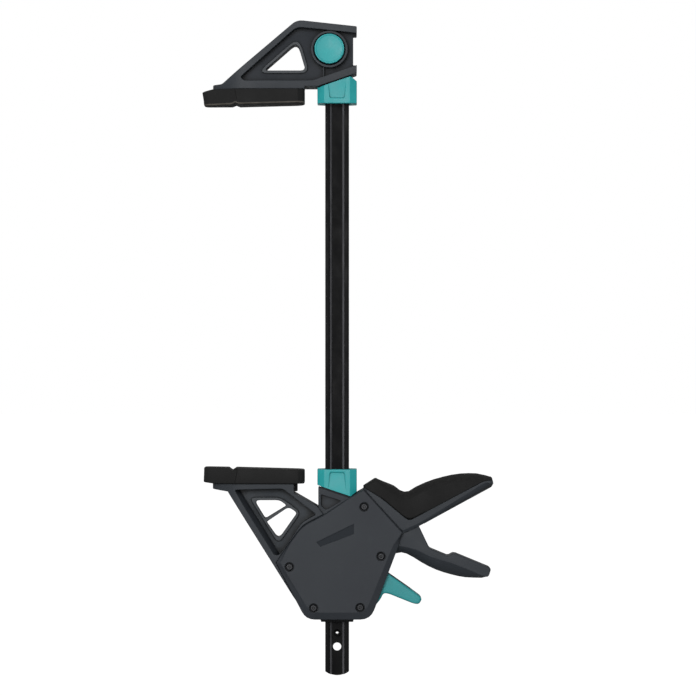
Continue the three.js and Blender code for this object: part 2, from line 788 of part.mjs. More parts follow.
function gripWhole() {
  const half = gripThickness / 2;
  const edge = [gripEdge, gripEdge];
  const top = [gripTopRoll, half];
  const underside = [gripUndersideRoll, half];
  const rolls = [
    edge, edge, top, top, top, top, top, top, edge, edge, underside, edge, edge, edge, edge,
  ];
  return rolledPlate(gripOutline(), half, rolls);
}

// Everything above the line where the soft pad meets the frame.
function gripPadSide(gap) {
  const line = scaled(gripPartShares, gripReach, gripDrop).map(([x, z, round]) => [x, z + gap, round]);
  const above = [[line.at(-1)[0], gripDrop], [line[0][0], gripDrop]];
  return plate([...line, ...above], -gripThickness, gripThickness);
}

function gripCore(gap) {
  const half = gripCoreThickness / 2 + gap;
  return plate(inset(gripOutline(), gripPadWall - gap), -half, half);
}

// The room that a piece takes up as it swings about its pin.
function swept(solid, pivot, degrees) {
  const turns = [0, 1, 2, 3, 4, 5, 6];
  return join(...turns.map((step) => turnedAbout(solid, pivot, -degrees * step / turns.at(-1))));
}

function triggerSpace() {
  const hubHalf = triggerHubThickness / 2 + triggerGap;
  const half = triggerThickness / 2 + triggerGap;
  const room = join(
    plate(inset(triggerFinger(), -triggerGap), -half, half),
    plate(inset(triggerHub(), -triggerGap), -hubHalf, hubHalf),
  );
  return swept(room, trigger, triggerSqueezeDegrees);
}

function leverSpace() {
  const half = leverThickness / 2 + triggerGap;
  return swept(plate(inset(leverCorners(), -triggerGap), -half, half), lever, leverTravelDegrees);
}

// A boss round a pivot pin, from the housing's back wall or from the cover. grow leaves room round one.
function pivotBoss(pivot, diameter, hubThickness, fromCover, grow = 0) {
  const end = hubThickness / 2 + fitGap + slideGap / 2 - grow;
  const span = fromCover ? [coverBack - fitGap, -end] : [end, cavityDepth + fitGap];
  return rod(diameter + 2 * (pivotBossWall + grow), ...span, pivot);
}

function screwHole(near, far, place) {
  return rod(screwShankDiameter + 2 * fitGap, near, far, place, 12);
}

function pinHole(pivot, diameter) {
  const end = pinEnd + fitGap;
  return rod(diameter + fitGap, -end, end, pivot);
}

function movingJawSolid() {
  const half = jawThickness / 2;
  const back = housingDepth / 2;
  const web = armWeb / 2;
  const foot = -(padThickness + fitGap);
  const reach = movingReach;
  const seat = (x) => -(collarInset + collarHeight(x) + fitGap);
  const [leftEdge, lowerLeft] = housing.slice(5);
  const legEnd = [0, 1].map((i) => THREE.MathUtils.lerp(leftEdge[i], lowerLeft[i], legEndShare));
  const arm = [
    [-reach, foot], [-reach, foot - footTipFlange, barEdgeRound],
    [-reach + footFlange, foot - footFlange + barEdgeRound], [-reach + 2 * footFlange, foot - footFlange],
    legEnd, [housing[2][0], leftEdge[1]], [housing[2][0], housing[2][1]],
    [-halfBar - bracketWallX - barEdgeRound, housing[1][1] - footFlange],
    [-footEndX, foot - footFlange - barEdgeRound], [-footEndX, foot],
  ];
  const bracketLeft = -halfBar - bracketWallX;
  const bracketTo = (left, drop) => [
    [left, seat(left) - drop], [collarPeakX, seat(collarPeakX) - drop],
    [collarPeakX, housing[2][1]], [left, housing[2][1] - barEdgeRound],
  ];
  const armOutline = plate(arm, -half, half).intersect(loftAlongZ([
    { outline: footPlan(reach), level: -movingHeight - overrun },
    { outline: footPlan(reach), level: 0 },
  ]));
  const pocket = scaled(armPocketShares, movingReach, movingHeight);
  const isLegSide = (i) => i === 0 || i === pocket.length - 1;
  const pocketFloor = pocket.map(([x, z, round], i) => [isLegSide(i) ? x + armPocketDraft : x, z, round]);
  const armPockets = [-1, 1].map((side) => loftAlongY([
    { outline: pocket, level: side * (half + overrun) },
    { outline: pocket, level: side * half },
    { outline: pocketFloor, level: side * web },
  ]));
  const lip = scaled(armLipShares, movingReach, movingHeight);
  const windows = armWindowShares.map((shares) => scaled(shares, movingReach, movingHeight));
  const armSolid = cut(
    join(
      cut(armOutline, ...armPockets),
      plate(lip, -web - windowLipRise, web + windowLipRise),
      tongueSolid(0).translate([0, 0, -fitGap]).mirror([0, 0, 1]).intersect(
        block([-reach, 0], evenly(half), [foot - footFlange, 0]),
      ),
    ),
    ...windows.map((corners) => plate(corners, -half, half)),
  );
  const shell = loftAlongY([
    { outline: housing, level: coverSeat },
    { outline: housing, level: back - coverBevelDepth },
    { outline: bevelled, level: back },
  ]);
  const frame = join(cut(gripWhole(), gripPadSide(0)), gripCore(0));
  const collarRoom = plate(inset(collarProfile(), -fitGap), -half, half).mirror([0, 0, 1])
    .translate([0, 0, -collarInset]);
  const bracketPocket = scaled(bracketPocketShares, housingWidth, movingHeight);
  const bracketFace = bracketDepth / 2 - bracketPocketDepth;
  const coreHalf = bracketDepth / 2 - collarRevealInset;
  const bracketSolid = cut(
    join(
      plate(bracketTo(bracketLeft, collarReveal), -bracketDepth / 2, bracketDepth / 2),
      plate(bracketTo(bracketLeft + collarRevealInset, 0), -coreHalf, coreHalf),
    ),
    plate(bracketPocket, -bracketDepth, -bracketFace),
    plate(bracketPocket, bracketFace, bracketDepth),
  );
  const coverSpace = plate(inset(housing, -fitGap), -housingDepth, coverSeat);
  const hollow = cut(
    join(cut(join(armSolid, shell, frame), collarRoom), bracketSolid),
    coverSpace,
    plate(cavity, coverSeat - overrun, cavityDepth),
    triggerSpace(),
    leverSpace(),
    pivotBoss(trigger, triggerPinDiameter, triggerHubThickness, true, fitGap),
    pivotBoss(lever, leverPinDiameter, leverThickness, true, fitGap),
  );
  const bushTop = -movingHeight + bushHeight - bushLip;
  const bushX = halfBar + slideGap + bushWallX + fitGap;
  const bushY = barThickness / 2 + slideGap + bushWallY + fitGap;
  const fitted = join(
    hollow,
    ...screws.map((at) => rod(screwBossDiameter, coverSeat, cavityDepth + fitGap, at, 20)),
    pivotBoss(trigger, triggerPinDiameter, triggerHubThickness, false),
    pivotBoss(lever, leverPinDiameter, leverThickness, false),
    plateStop(),
    springLedge(),
    brakeLug(),
    brakeSpringLedge(),
  );
  return cut(
    fitted,
    barSpace(slideGap, [-movingHeight - overrun, 0]),
    block(evenly(bushX), evenly(bushY), [-movingHeight - overrun, bushTop + fitGap]),
    ...screws.map((at) => screwHole(coverSeat - overrun, coverSeat + screwLength, at)),
    pinHole(trigger, triggerPinDiameter),
    pinHole(lever, leverPinDiameter),
  );
}

// The lug over the back end of the drive plates, which makes them tilt and bite.
function plateStop() {
  const low = plateTop + fitGap;
  return block(
    [-halfBar - slideGap - plateBackX, -halfBar - slideGap],
    [-plateDepth / 2, cavityDepth + fitGap],
    [low, low + plateStopHeight],
  );
}

function springLedge() {
  const half = halfBar + slideGap + housingWall;
  const height = [springSeat - springSeatThickness, springSeat];
  return block(evenly(half), [coverSeat, cavityDepth + fitGap], height);
}

function brakeLug() {
  const [x, z] = brakeHinge;
  const slot = brakePlateThickness / 2 + brakeNotchGap;
  const lug = block(
    [x - brakeLugX, x + brakeTailX],
    [-brakePlateDepth / 2, cavityDepth + fitGap],
    evenly(slot + brakeLugZ, z),
  );
  const notch = block(
    [x - brakeTailX - 2 * fitGap, x + brakeLugX],
    [-brakePlateDepth, brakePlateDepth / 2 + fitGap],
    evenly(slot, z),
  );
  return cut(lug, notch);
}

function brakeSpringLedge() {
  const half = brakeSpringRadius + brakeSpringWire;
  return block(
    evenly(half, brakeSpringX),
    [-half, cavityDepth + fitGap],
    [screws[3][1], brakeSpringSeat],
  );
}

function frontCoverSolid() {
  const front = -housingDepth / 2;
  const sheet = loftAlongY([
    { outline: housing, level: coverBack },
    { outline: housing, level: front + coverBevelDepth },
    { outline: bevelled, level: front },
  ]);
  const recess = scaled(coverRecessShares, housingWidth, movingHeight);
  const headSeat = front + coverRecessDepth + screwHeadHeight + fitGap;
  return cut(
    join(
      sheet,
      pivotBoss(trigger, triggerPinDiameter, triggerHubThickness, true),
      pivotBoss(lever, leverPinDiameter, leverThickness, true),
    ),
    plate(recess, front - overrun, front + coverRecessDepth),
    ...screws.map((at) => rod(screwRecessDiameter, front - overrun, headSeat, at)),
    ...screws.map((at) => screwHole(front, coverBack + overrun, at)),
    pinHole(trigger, triggerPinDiameter),
    pinHole(lever, leverPinDiameter),
  );
}

function coverScrewSolid() {
  const top = -housingDepth / 2 + coverRecessDepth;
  const headRadius = screwHeadDiameter / 2;
  const shankRadius = screwShankDiameter / 2;
  const profile = [
    [0, 0], [headRadius - fitGap, 0], [headRadius, fitGap], [headRadius, screwHeadHeight],
    [shankRadius, screwHeadHeight], [shankRadius, screwLength], [0, screwLength],
  ];
  const head = new THREE.LatheGeometry(profile.map((at) => new THREE.Vector2(...at)), 14);
  head.translate(0, top, 0);
  return cut(solidFrom(head), rod(screwSocketDiameter, top - overrun, top + screwSocketDepth, [0, 0], 6));
}

function gripPadSolid() {
  return cut(gripWhole().intersect(gripPadSide(fitGap)), gripCore(fitGap), triggerSpace());
}

function bushSolid() {
  const innerX = halfBar + slideGap + bushWallX;
  const innerY = barThickness / 2 + slideGap + bushWallY;
  const lipTop = -movingHeight - fitGap;
  const lip = [
    [-innerX - bushLipOut, lipTop], [-innerX + bushLipOut, lipTop - bushLip],
    [innerX - bushLipOut, lipTop - bushLip], [innerX + bushLipOut, lipTop],
  ];
  const lipDepth = innerY + bushLipOut;
  return cut(
    join(
      block(evenly(innerX), evenly(innerY), [lipTop - bushLip, -movingHeight + bushHeight - bushLip]),
      plate(lip, -lipDepth, lipDepth),
    ),
    barSpace(slideGap, [-movingHeight - bushHeight, 0]),
  );
}

// Trigger: a beam for the fingers, and a hub whose nose pushes the drive plates down.

function about([pivotX, pivotZ], corners) {
  return corners.map(([x, z, round]) => [x + pivotX, z + pivotZ, round]);
}

function triggerFinger() {
  return about(trigger, scaled(triggerFingerShares, triggerReach, triggerDrop));
}

function triggerHub() {
  const [from, to] = triggerHubArcDegrees.map(THREE.MathUtils.degToRad);
  const arc = [0, 1, 2, 3].map((step) => {
    const angle = from + (to - from) * step / 3;
    return [triggerHubRadius * Math.cos(angle), triggerHubRadius * Math.sin(angle), 0];
  });
  const nose = [-noseReach, noseRadius - noseDrop];
  const [top, back] = [triggerHubTopShares, triggerHubBackShares].map((shares) => (
    scaled(shares.toReversed(), triggerReach, triggerDrop)
  ));
  return about(trigger, [
    ...arc, ...top, [nose[0], nose[1] + noseRadius], [nose[0], nose[1] - noseRadius], ...back,
  ]);
}

function triggerSolid() {
  const half = triggerThickness / 2;
  const hubHalf = triggerHubThickness / 2;
  const rolls = triggerRollShares.map((share) => (
    share > 0 ? [share * triggerDrop, half] : [triggerEdge, triggerEdge]
  ));
  return cut(
    join(
      rolledPlate(triggerFinger(), half, rolls),
      plate(triggerHub(), -hubHalf, hubHalf),
      rod(2 * noseRadius, -hubHalf, hubHalf, [noseX, trigger[1] + noseRadius - noseDrop], 20),
    ),
    rod(triggerPinDiameter + fitGap, -half, half, trigger),
  );
}

function pivotPinSolid(pivot, diameter) {
  return rod(diameter - fitGap, -pinEnd, pinEnd, pivot);
}

function drivePlateSolid(number) {
  const top = plateTop - number * (plateThickness + fitGap);
  const sheet = block(
    [-halfBar - plateBackX, noseX + plateLipX],
    evenly(plateDepth / 2),
    [top - plateThickness, top],
  );
  return cut(sheet, barSpace(slideGap, [top - plateThickness - overrun, top + overrun]));
}

function brakePlateSolid() {
  const [x, z] = brakeHinge;
  const half = brakePlateThickness / 2;
  const sheet = block(
    [x - brakeTailX, brakeContactX + brakeLipX],
    evenly(brakePlateDepth / 2),
    [z - half, z + half],
  );
  const hole = block(
    evenly(halfBar + brakeHoleGap),
    evenly(barThickness / 2 + slideGap),
    [z - half - overrun, z + half + overrun],
  );
  return turnedAbout(cut(sheet, hole), brakeHinge, -brakeTiltDegrees);
}

function leverCorners() {
  const nose = [-leverNoseReach, leverNoseRadius - leverNoseDrop];
  return about(lever, [
    ...scaled(leverShares, leverReach, leverDrop), [nose[0], nose[1] - leverNoseRadius, 0],
    [nose[0], nose[1] + leverNoseRadius, 0], ...scaled(leverTopShares, leverReach, leverDrop),
  ]);
}

// The strip along the lever's top edge, or the step for it.
function leverStrip(gap) {
  const corners = scaled(leverShares.slice(0, 2), leverReach, leverDrop);
  const [root, end] = corners.map(([x, z]) => new THREE.Vector2(x + lever[0], z + lever[1]));
  const along = end.clone().sub(root).normalize();
  const down = new THREE.Vector2(along.y, -along.x);
  const thickness = leverStripThickness + gap;
  const half = leverStripWidth / 2 + gap;
  const start = root.clone().addScaledVector(along, -gap);
  const stop = end.clone().addScaledVector(along, gap);
  const over = gap > 0 ? overrun : 0;
  const outline = [
    start.clone().addScaledVector(down, -over), stop.clone().addScaledVector(down, -over),
    stop.clone().addScaledVector(down, thickness), start.clone().addScaledVector(down, thickness),
  ].map((p) => [p.x, p.y]);
  return plate(outline, -half, half);
}

function releaseLeverSolid() {
  const half = leverThickness / 2;
  const nose = [lever[0] - leverNoseReach, lever[1] + leverNoseRadius - leverNoseDrop];
  return cut(
    join(
      softPlate(leverCorners(), -half, half, leverEdge),
      rod(2 * leverNoseRadius, -half + leverEdge, half - leverEdge, nose, 20),
    ),
    rod(leverPinDiameter + fitGap, -half, half, lever),
    leverStrip(fitGap),
  );
}

// Assembly

const clamp = new THREE.Group();
const fixedSide = new THREE.Group();
const carriage = new THREE.Group();
clamp.add(fixedSide, carriage);
clamp.position.set(padHeelX + padLength / 2, 0, 0);
carriage.position.set(0, 0, -restOpening);

const upperCollar = piece('upper_collar', collarSolid(upperPanelEnd), 'accent');
upperCollar.position.set(0, 0, collarInset);

const buttonSpring = mesh(
  'button_spring',
  coil(buttonSpringRadius, buttonSpringWire, boreEnd - yokeBack - 2 * fitGap, buttonSpringTurns),
  'steel',
);
buttonSpring.rotation.set(-Math.PI / 2, 0, 0);
buttonSpring.position.set(0, yokeBack + fitGap, lockHoleZ);

fixedSide.add(
  piece('bar', barSolid(), 'blackSteel'),
  piece('end_stop_pin', stopPinSolid(), 'blackSteel'),
  piece('fixed_jaw', fixedJawSolid(), 'body'),
  piece('fixed_jaw_pad', padSolid(fixedNotchFromTip), 'soft'),
  upperCollar,
  piece('lock_button', lockButtonSolid(), 'accent'),
  piece('lock_pin', lockPinSolid(), 'steel'),
  buttonSpring,
);

// The moving pad and collar are the fixed ones turned over.
const movingPad = piece('moving_jaw_pad', padSolid(movingNotchFromTip).mirror([0, 0, 1]), 'soft');
const lowerCollar = piece('lower_collar', collarSolid(lowerPanelEnd).mirror([0, 0, 1]), 'accent');
lowerCollar.position.set(0, 0, -collarInset);

const driveSpringRadius = Math.hypot(halfBar, barThickness / 2) + slideGap + driveSpringWire / 2;
const driveSpring = mesh(
  'drive_spring',
  coil(driveSpringRadius, driveSpringWire, driveSpringLength, driveSpringTurns),
  'steel',
);
driveSpring.position.set(0, 0, springSeat + fitGap);

const brakeSpring = mesh(
  'brake_spring',
  coil(brakeSpringRadius, brakeSpringWire, brakeSpringTop - brakeSpringSeat - fitGap, brakeSpringTurns),
  'steel',
);
brakeSpring.position.set(brakeSpringX, 0, brakeSpringSeat + fitGap);

carriage.add(
  piece('moving_jaw_body', movingJawSolid(), 'body'),
  piece('front_cover', frontCoverSolid(), 'body'),
  piece('grip_pad', gripPadSolid(), 'soft'),
  movingPad,
  lowerCollar,
  piece('lower_bar_bush', bushSolid(), 'soft'),
  piece('trigger', triggerSolid(), 'body'),
  piece('trigger_pin', pivotPinSolid(trigger, triggerPinDiameter), 'steel'),
  driveSpring,
  piece('brake_plate', brakePlateSolid(), 'blackSteel'),
  brakeSpring,
  piece('release_lever', releaseLeverSolid(), 'accent'),
  piece('release_lever_strip', leverStrip(0), 'blackSteel'),
  piece('release_lever_pin', pivotPinSolid(lever, leverPinDiameter), 'steel'),
);

for (const number of [0, 1]) {
  carriage.add(piece(`drive_plate_${number + 1}`, drivePlateSolid(number), 'steel'));
}

screws.forEach(([x, z], i) => {
  const screw = piece(`cover_screw_${i + 1}`, coverScrewSolid(), 'steel');
  screw.position.set(x, 0, z);
  carriage.add(screw);
});

export default clamp;
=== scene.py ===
import math

import bmesh
import bpy
from mathutils import Matrix, Vector


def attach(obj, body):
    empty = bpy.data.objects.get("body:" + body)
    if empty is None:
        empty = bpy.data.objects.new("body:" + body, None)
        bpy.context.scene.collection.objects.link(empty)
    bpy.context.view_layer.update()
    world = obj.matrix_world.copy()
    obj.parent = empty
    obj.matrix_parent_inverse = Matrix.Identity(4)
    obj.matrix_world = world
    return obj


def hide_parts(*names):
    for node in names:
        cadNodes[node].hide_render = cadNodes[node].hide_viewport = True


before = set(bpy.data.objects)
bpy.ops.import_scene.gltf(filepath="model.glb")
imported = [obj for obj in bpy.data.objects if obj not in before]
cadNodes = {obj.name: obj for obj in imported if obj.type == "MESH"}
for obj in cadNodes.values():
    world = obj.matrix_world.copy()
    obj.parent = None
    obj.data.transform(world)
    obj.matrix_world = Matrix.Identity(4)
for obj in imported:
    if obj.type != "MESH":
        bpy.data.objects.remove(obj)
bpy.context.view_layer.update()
print("frame loaded:", len(cadNodes), "pieces")

# The pieces are drawn in millimetres from the bar's axis and from the face of their own pad
millimetre = 0.001
barAxisX = 67.7
restOpening = 297.6

# Camera, square picture, level with the middle of the clamp
cameraSettings = {
    "place": (0.0766, -2.3, -0.1991), "pitch": 90, "lens": 145.09, "sensor": 36, "reach": 20,
}


def setCamera(settings):
    data = bpy.data.cameras.new("frontCamera")
    data.sensor_width = settings["sensor"]
    data.lens = settings["lens"]
    data.clip_end = settings["reach"]
    camera = bpy.data.objects.new("frontCamera", data)
    camera.location = settings["place"]
    camera.rotation_euler = (math.radians(settings["pitch"]), 0, 0)
    bpy.context.collection.objects.link(camera)
    bpy.context.scene.camera = camera


setCamera(cameraSettings)
bpy.context.scene.view_settings.view_transform = "Standard"
print("camera set")


# Colours and node helpers. Nodes lie on a grid, so that a tree can be read in the editor.
columnWidth = 190
rowHeight = 230
lastColumn = 8


# From the colours of a screen (sRGB) to Blender's linear ones
def fromScreen(red, green, blue):
    parts = []
    for value in (red, green, blue):
        share = value / 255
        parts.append(share / 12.92 if share <= 0.04045 else ((share + 0.055) / 1.055) ** 2.4)
    return (*parts, 1)


def placeNode(node, column, row=0):
    node.location = (column * columnWidth, row * -rowHeight)
    return node


def addNode(tree, kind, column, row, **settings):
    node = placeNode(tree.nodes.new("ShaderNode" + kind), column, row)
    for name, value in settings.items():
        setattr(node, name, value)
    return node


def fill(node, **values):
    for name, value in values.items():
        node.inputs[name].default_value = value
    return node


def startGroup(name, inputs, outputs):
    group = bpy.data.node_groups.new(name, "ShaderNodeTree")
    for label, kind, value in inputs:
        socket = group.interface.new_socket(label, in_out="INPUT", socket_type="NodeSocket" + kind)
        socket.default_value = value
    for label, kind in outputs:
        group.interface.new_socket(label, in_out="OUTPUT", socket_type="NodeSocket" + kind)
    entry = placeNode(group.nodes.new("NodeGroupInput"), -2)
    leave = placeNode(group.nodes.new("NodeGroupOutput"), lastColumn)
    return group, entry, leave


# A socket gets a plain value, or a link from another socket
def feed(tree, socket, value):
    if isinstance(value, bpy.types.NodeSocket):
        tree.links.new(value, socket)
    else:
        socket.default_value = value


def addMath(tree, operation, column, row, first, second, clamp=False):
    node = addNode(tree, "Math", column, row, operation=operation, use_clamp=clamp)
    feed(tree, node.inputs[0], first)
    feed(tree, node.inputs[1], second)
    return node.outputs[0]


# From low to high the value goes from 0 to 1
def addRange(tree, column, row, value, low, high):
    node = fill(addNode(tree, "MapRange", column, row), **{"From Min": low, "From Max": high})
    tree.links.new(value, node.inputs["Value"])
    return node.outputs["Result"]


def addNoise(tree, column, row, where, scale, detail, roughness):
    node = fill(addNode(tree, "TexNoise", column, row), Detail=detail, Roughness=roughness)
    feed(tree, node.inputs["Scale"], scale)
    tree.links.new(where, node.inputs["Vector"])
    return node.outputs["Fac"]


# Effects that several materials share, and how much each of them does
effectShares = {
    "noiseHeight": 0.7, "cellHeight": 0.35, "edgeStrength": 6, "markRoughness": 0.3,
    "dustRoughness": 0.6, "markDepth": 0.5,
}
dustColour = (150, 148, 144)


def buildMouldGrain():
    group, entry, leave = startGroup(
        "mouldGrain",
        [("Grain Size mm", "Float", 0.5), ("Patch Size mm", "Float", 25)],
        [("Height", "Float"), ("Patches", "Float")],
    )
    where = addNode(group, "TexCoord", 0, 0).outputs["Object"]
    perMetre = 1 / millimetre
    grainScale = addMath(group, "DIVIDE", 0, 1, perMetre, entry.outputs["Grain Size mm"])
    patchScale = addMath(group, "DIVIDE", 0, 2, perMetre, entry.outputs["Patch Size mm"])
    grain = addNoise(group, 2, 0, where, grainScale, detail=3, roughness=0.6)
    cells = addNode(group, "TexVoronoi", 2, 1, feature="SMOOTH_F1")
    group.links.new(where, cells.inputs["Vector"])
    group.links.new(grainScale, cells.inputs["Scale"])
    patches = addNoise(group, 2, 2, where, patchScale, detail=4, roughness=0.55)
    height = addMath(group, "MULTIPLY", 4, 0, grain, effectShares["noiseHeight"])
    blend = addNode(group, "Mix", 5, 0, data_type="FLOAT")
    blend.inputs["Factor"].default_value = effectShares["cellHeight"]
    group.links.new(height, blend.inputs["A"])
    group.links.new(cells.outputs["Distance"], blend.inputs["B"])
    group.links.new(blend.outputs["Result"], leave.inputs["Height"])
    group.links.new(patches, leave.inputs["Patches"])
    return group


def buildSoftEdges():
    group, entry, leave = startGroup(
        "softEdges",
        [("Round mm", "Float", 0.6), ("Wear", "Float", 0.5)],
        [("Mask", "Float"), ("Normal", "Vector")],
    )
    radius = addMath(group, "MULTIPLY", 0, 0, entry.outputs["Round mm"], millimetre)
    rounded = addNode(group, "Bevel", 1, 0, samples=6)
    group.links.new(radius, rounded.inputs["Radius"])
    surface = addNode(group, "NewGeometry", 1, 1)
    together = addNode(group, "VectorMath", 2, 0, operation="DOT_PRODUCT")
    group.links.new(rounded.outputs["Normal"], together.inputs[0])
    group.links.new(surface.outputs["Normal"], together.inputs[1])
    turned = addMath(group, "SUBTRACT", 3, 0, 1, together.outputs["Value"])
    strong = addMath(group, "MULTIPLY", 4, 0, turned, effectShares["edgeStrength"], clamp=True)
    where = addNode(group, "TexCoord", 1, 2).outputs["Object"]
    uneven = addNoise(group, 2, 2, where, scale=140, detail=5, roughness=0.7)
    rubbed = addRange(group, 3, 2, uneven, low=0.42, high=0.66)
    broken = addMath(group, "MULTIPLY", 5, 0, strong, rubbed)
    mask = addMath(group, "MULTIPLY", 6, 0, broken, entry.outputs["Wear"], clamp=True)
    group.links.new(mask, leave.inputs["Mask"])
    group.links.new(rounded.outputs["Normal"], leave.inputs["Normal"])
    return group


# Painted shade: the colour is darkened where ambient occlusion finds the surface closed in, in
# crevices, corners and recesses
def buildPaintedCreviceShade():
    group, entry, leave = startGroup(
        "paintedCreviceShade", [("Reach mm", "Float", 2.5), ("Amount", "Float", 0.5)], [("Mask", "Float")],
    )
    reach = addMath(group, "MULTIPLY", 0, 0, entry.outputs["Reach mm"], millimetre)
    openness = addNode(group, "AmbientOcclusion", 1, 0, samples=8, only_local=True)
    group.links.new(reach, openness.inputs["Distance"])
    closed = addRange(group, 2, 0, openness.outputs["AO"], low=0.92, high=0.5)
    mask = addMath(group, "MULTIPLY", 3, 0, closed, entry.outputs["Amount"], clamp=True)
    group.links.new(mask, leave.inputs["Mask"])
    return group


def buildRubMarks():
    group, entry, leave = startGroup(
        "rubMarks",
        [("Stretch", "Vector", (1, 1, 1)), ("Scale", "Float", 300), ("Amount", "Float", 0.5)],
        [("Mask", "Float"), ("Height", "Float")],
    )
    stretched = addNode(group, "VectorMath", 1, 0, operation="MULTIPLY")
    group.links.new(addNode(group, "TexCoord", 0, 0).outputs["Object"], stretched.inputs[0])
    group.links.new(entry.outputs["Stretch"], stretched.inputs[1])
    where, scale = stretched.outputs["Vector"], entry.outputs["Scale"]
    marks = addNoise(group, 2, 0, where, scale, detail=6, roughness=0.75)
    thin = addRange(group, 3, 0, marks, low=0.55, high=0.72)
    mask = addMath(group, "MULTIPLY", 4, 0, thin, entry.outputs["Amount"], clamp=True)
    group.links.new(mask, leave.inputs["Mask"])
    group.links.new(marks, leave.inputs["Height"])
    return group


def buildSettledDust():
    group, entry, leave = startGroup("settledDust", [("Amount", "Float", 0.2)], [("Mask", "Float")])
    coordinates = addNode(group, "TexCoord", 0, 0)
    parts = addNode(group, "SeparateXYZ", 1, 0)
    group.links.new(coordinates.outputs["Normal"], parts.inputs["Vector"])
    upward = addRange(group, 2, 0, parts.outputs["Z"], low=0.3, high=1)
    where = coordinates.outputs["Object"]
    specks = addNoise(group, 2, 1, where, scale=420, detail=6, roughness=0.8)
    sparse = addRange(group, 3, 1, specks, low=0.45, high=0.75)
    both = addMath(group, "MULTIPLY", 4, 0, upward, sparse)
    mask = addMath(group, "MULTIPLY", 5, 0, both, entry.outputs["Amount"], clamp=True)
    group.links.new(mask, leave.inputs["Mask"])
    return group


sharedEffects = {
    "grain": buildMouldGrain(),
    "edges": buildSoftEdges(),
    "paintedCreviceShade": buildPaintedCreviceShade(),
    "marks": buildRubMarks(),
    "dust": buildSettledDust(),
}
print("shared effects built")


def useGroup(tree, effect, column, row, **values):
    node = addNode(tree, "Group", column, row, node_tree=sharedEffects[effect])
    for name, value in values.items():
        node.inputs[name.replace("_", " ")].default_value = value
    return node


def mixColour(tree, column, row, factor, first, second):
    node = addNode(tree, "Mix", column, row, data_type="RGBA")
    sockets = [socket for socket in node.inputs if socket.type == "RGBA"]
    for socket, value in zip((node.inputs["Factor"], *sockets), (factor, first, second)):
        feed(tree, socket, value)
    return [socket for socket in node.outputs if socket.type == "RGBA"][0]
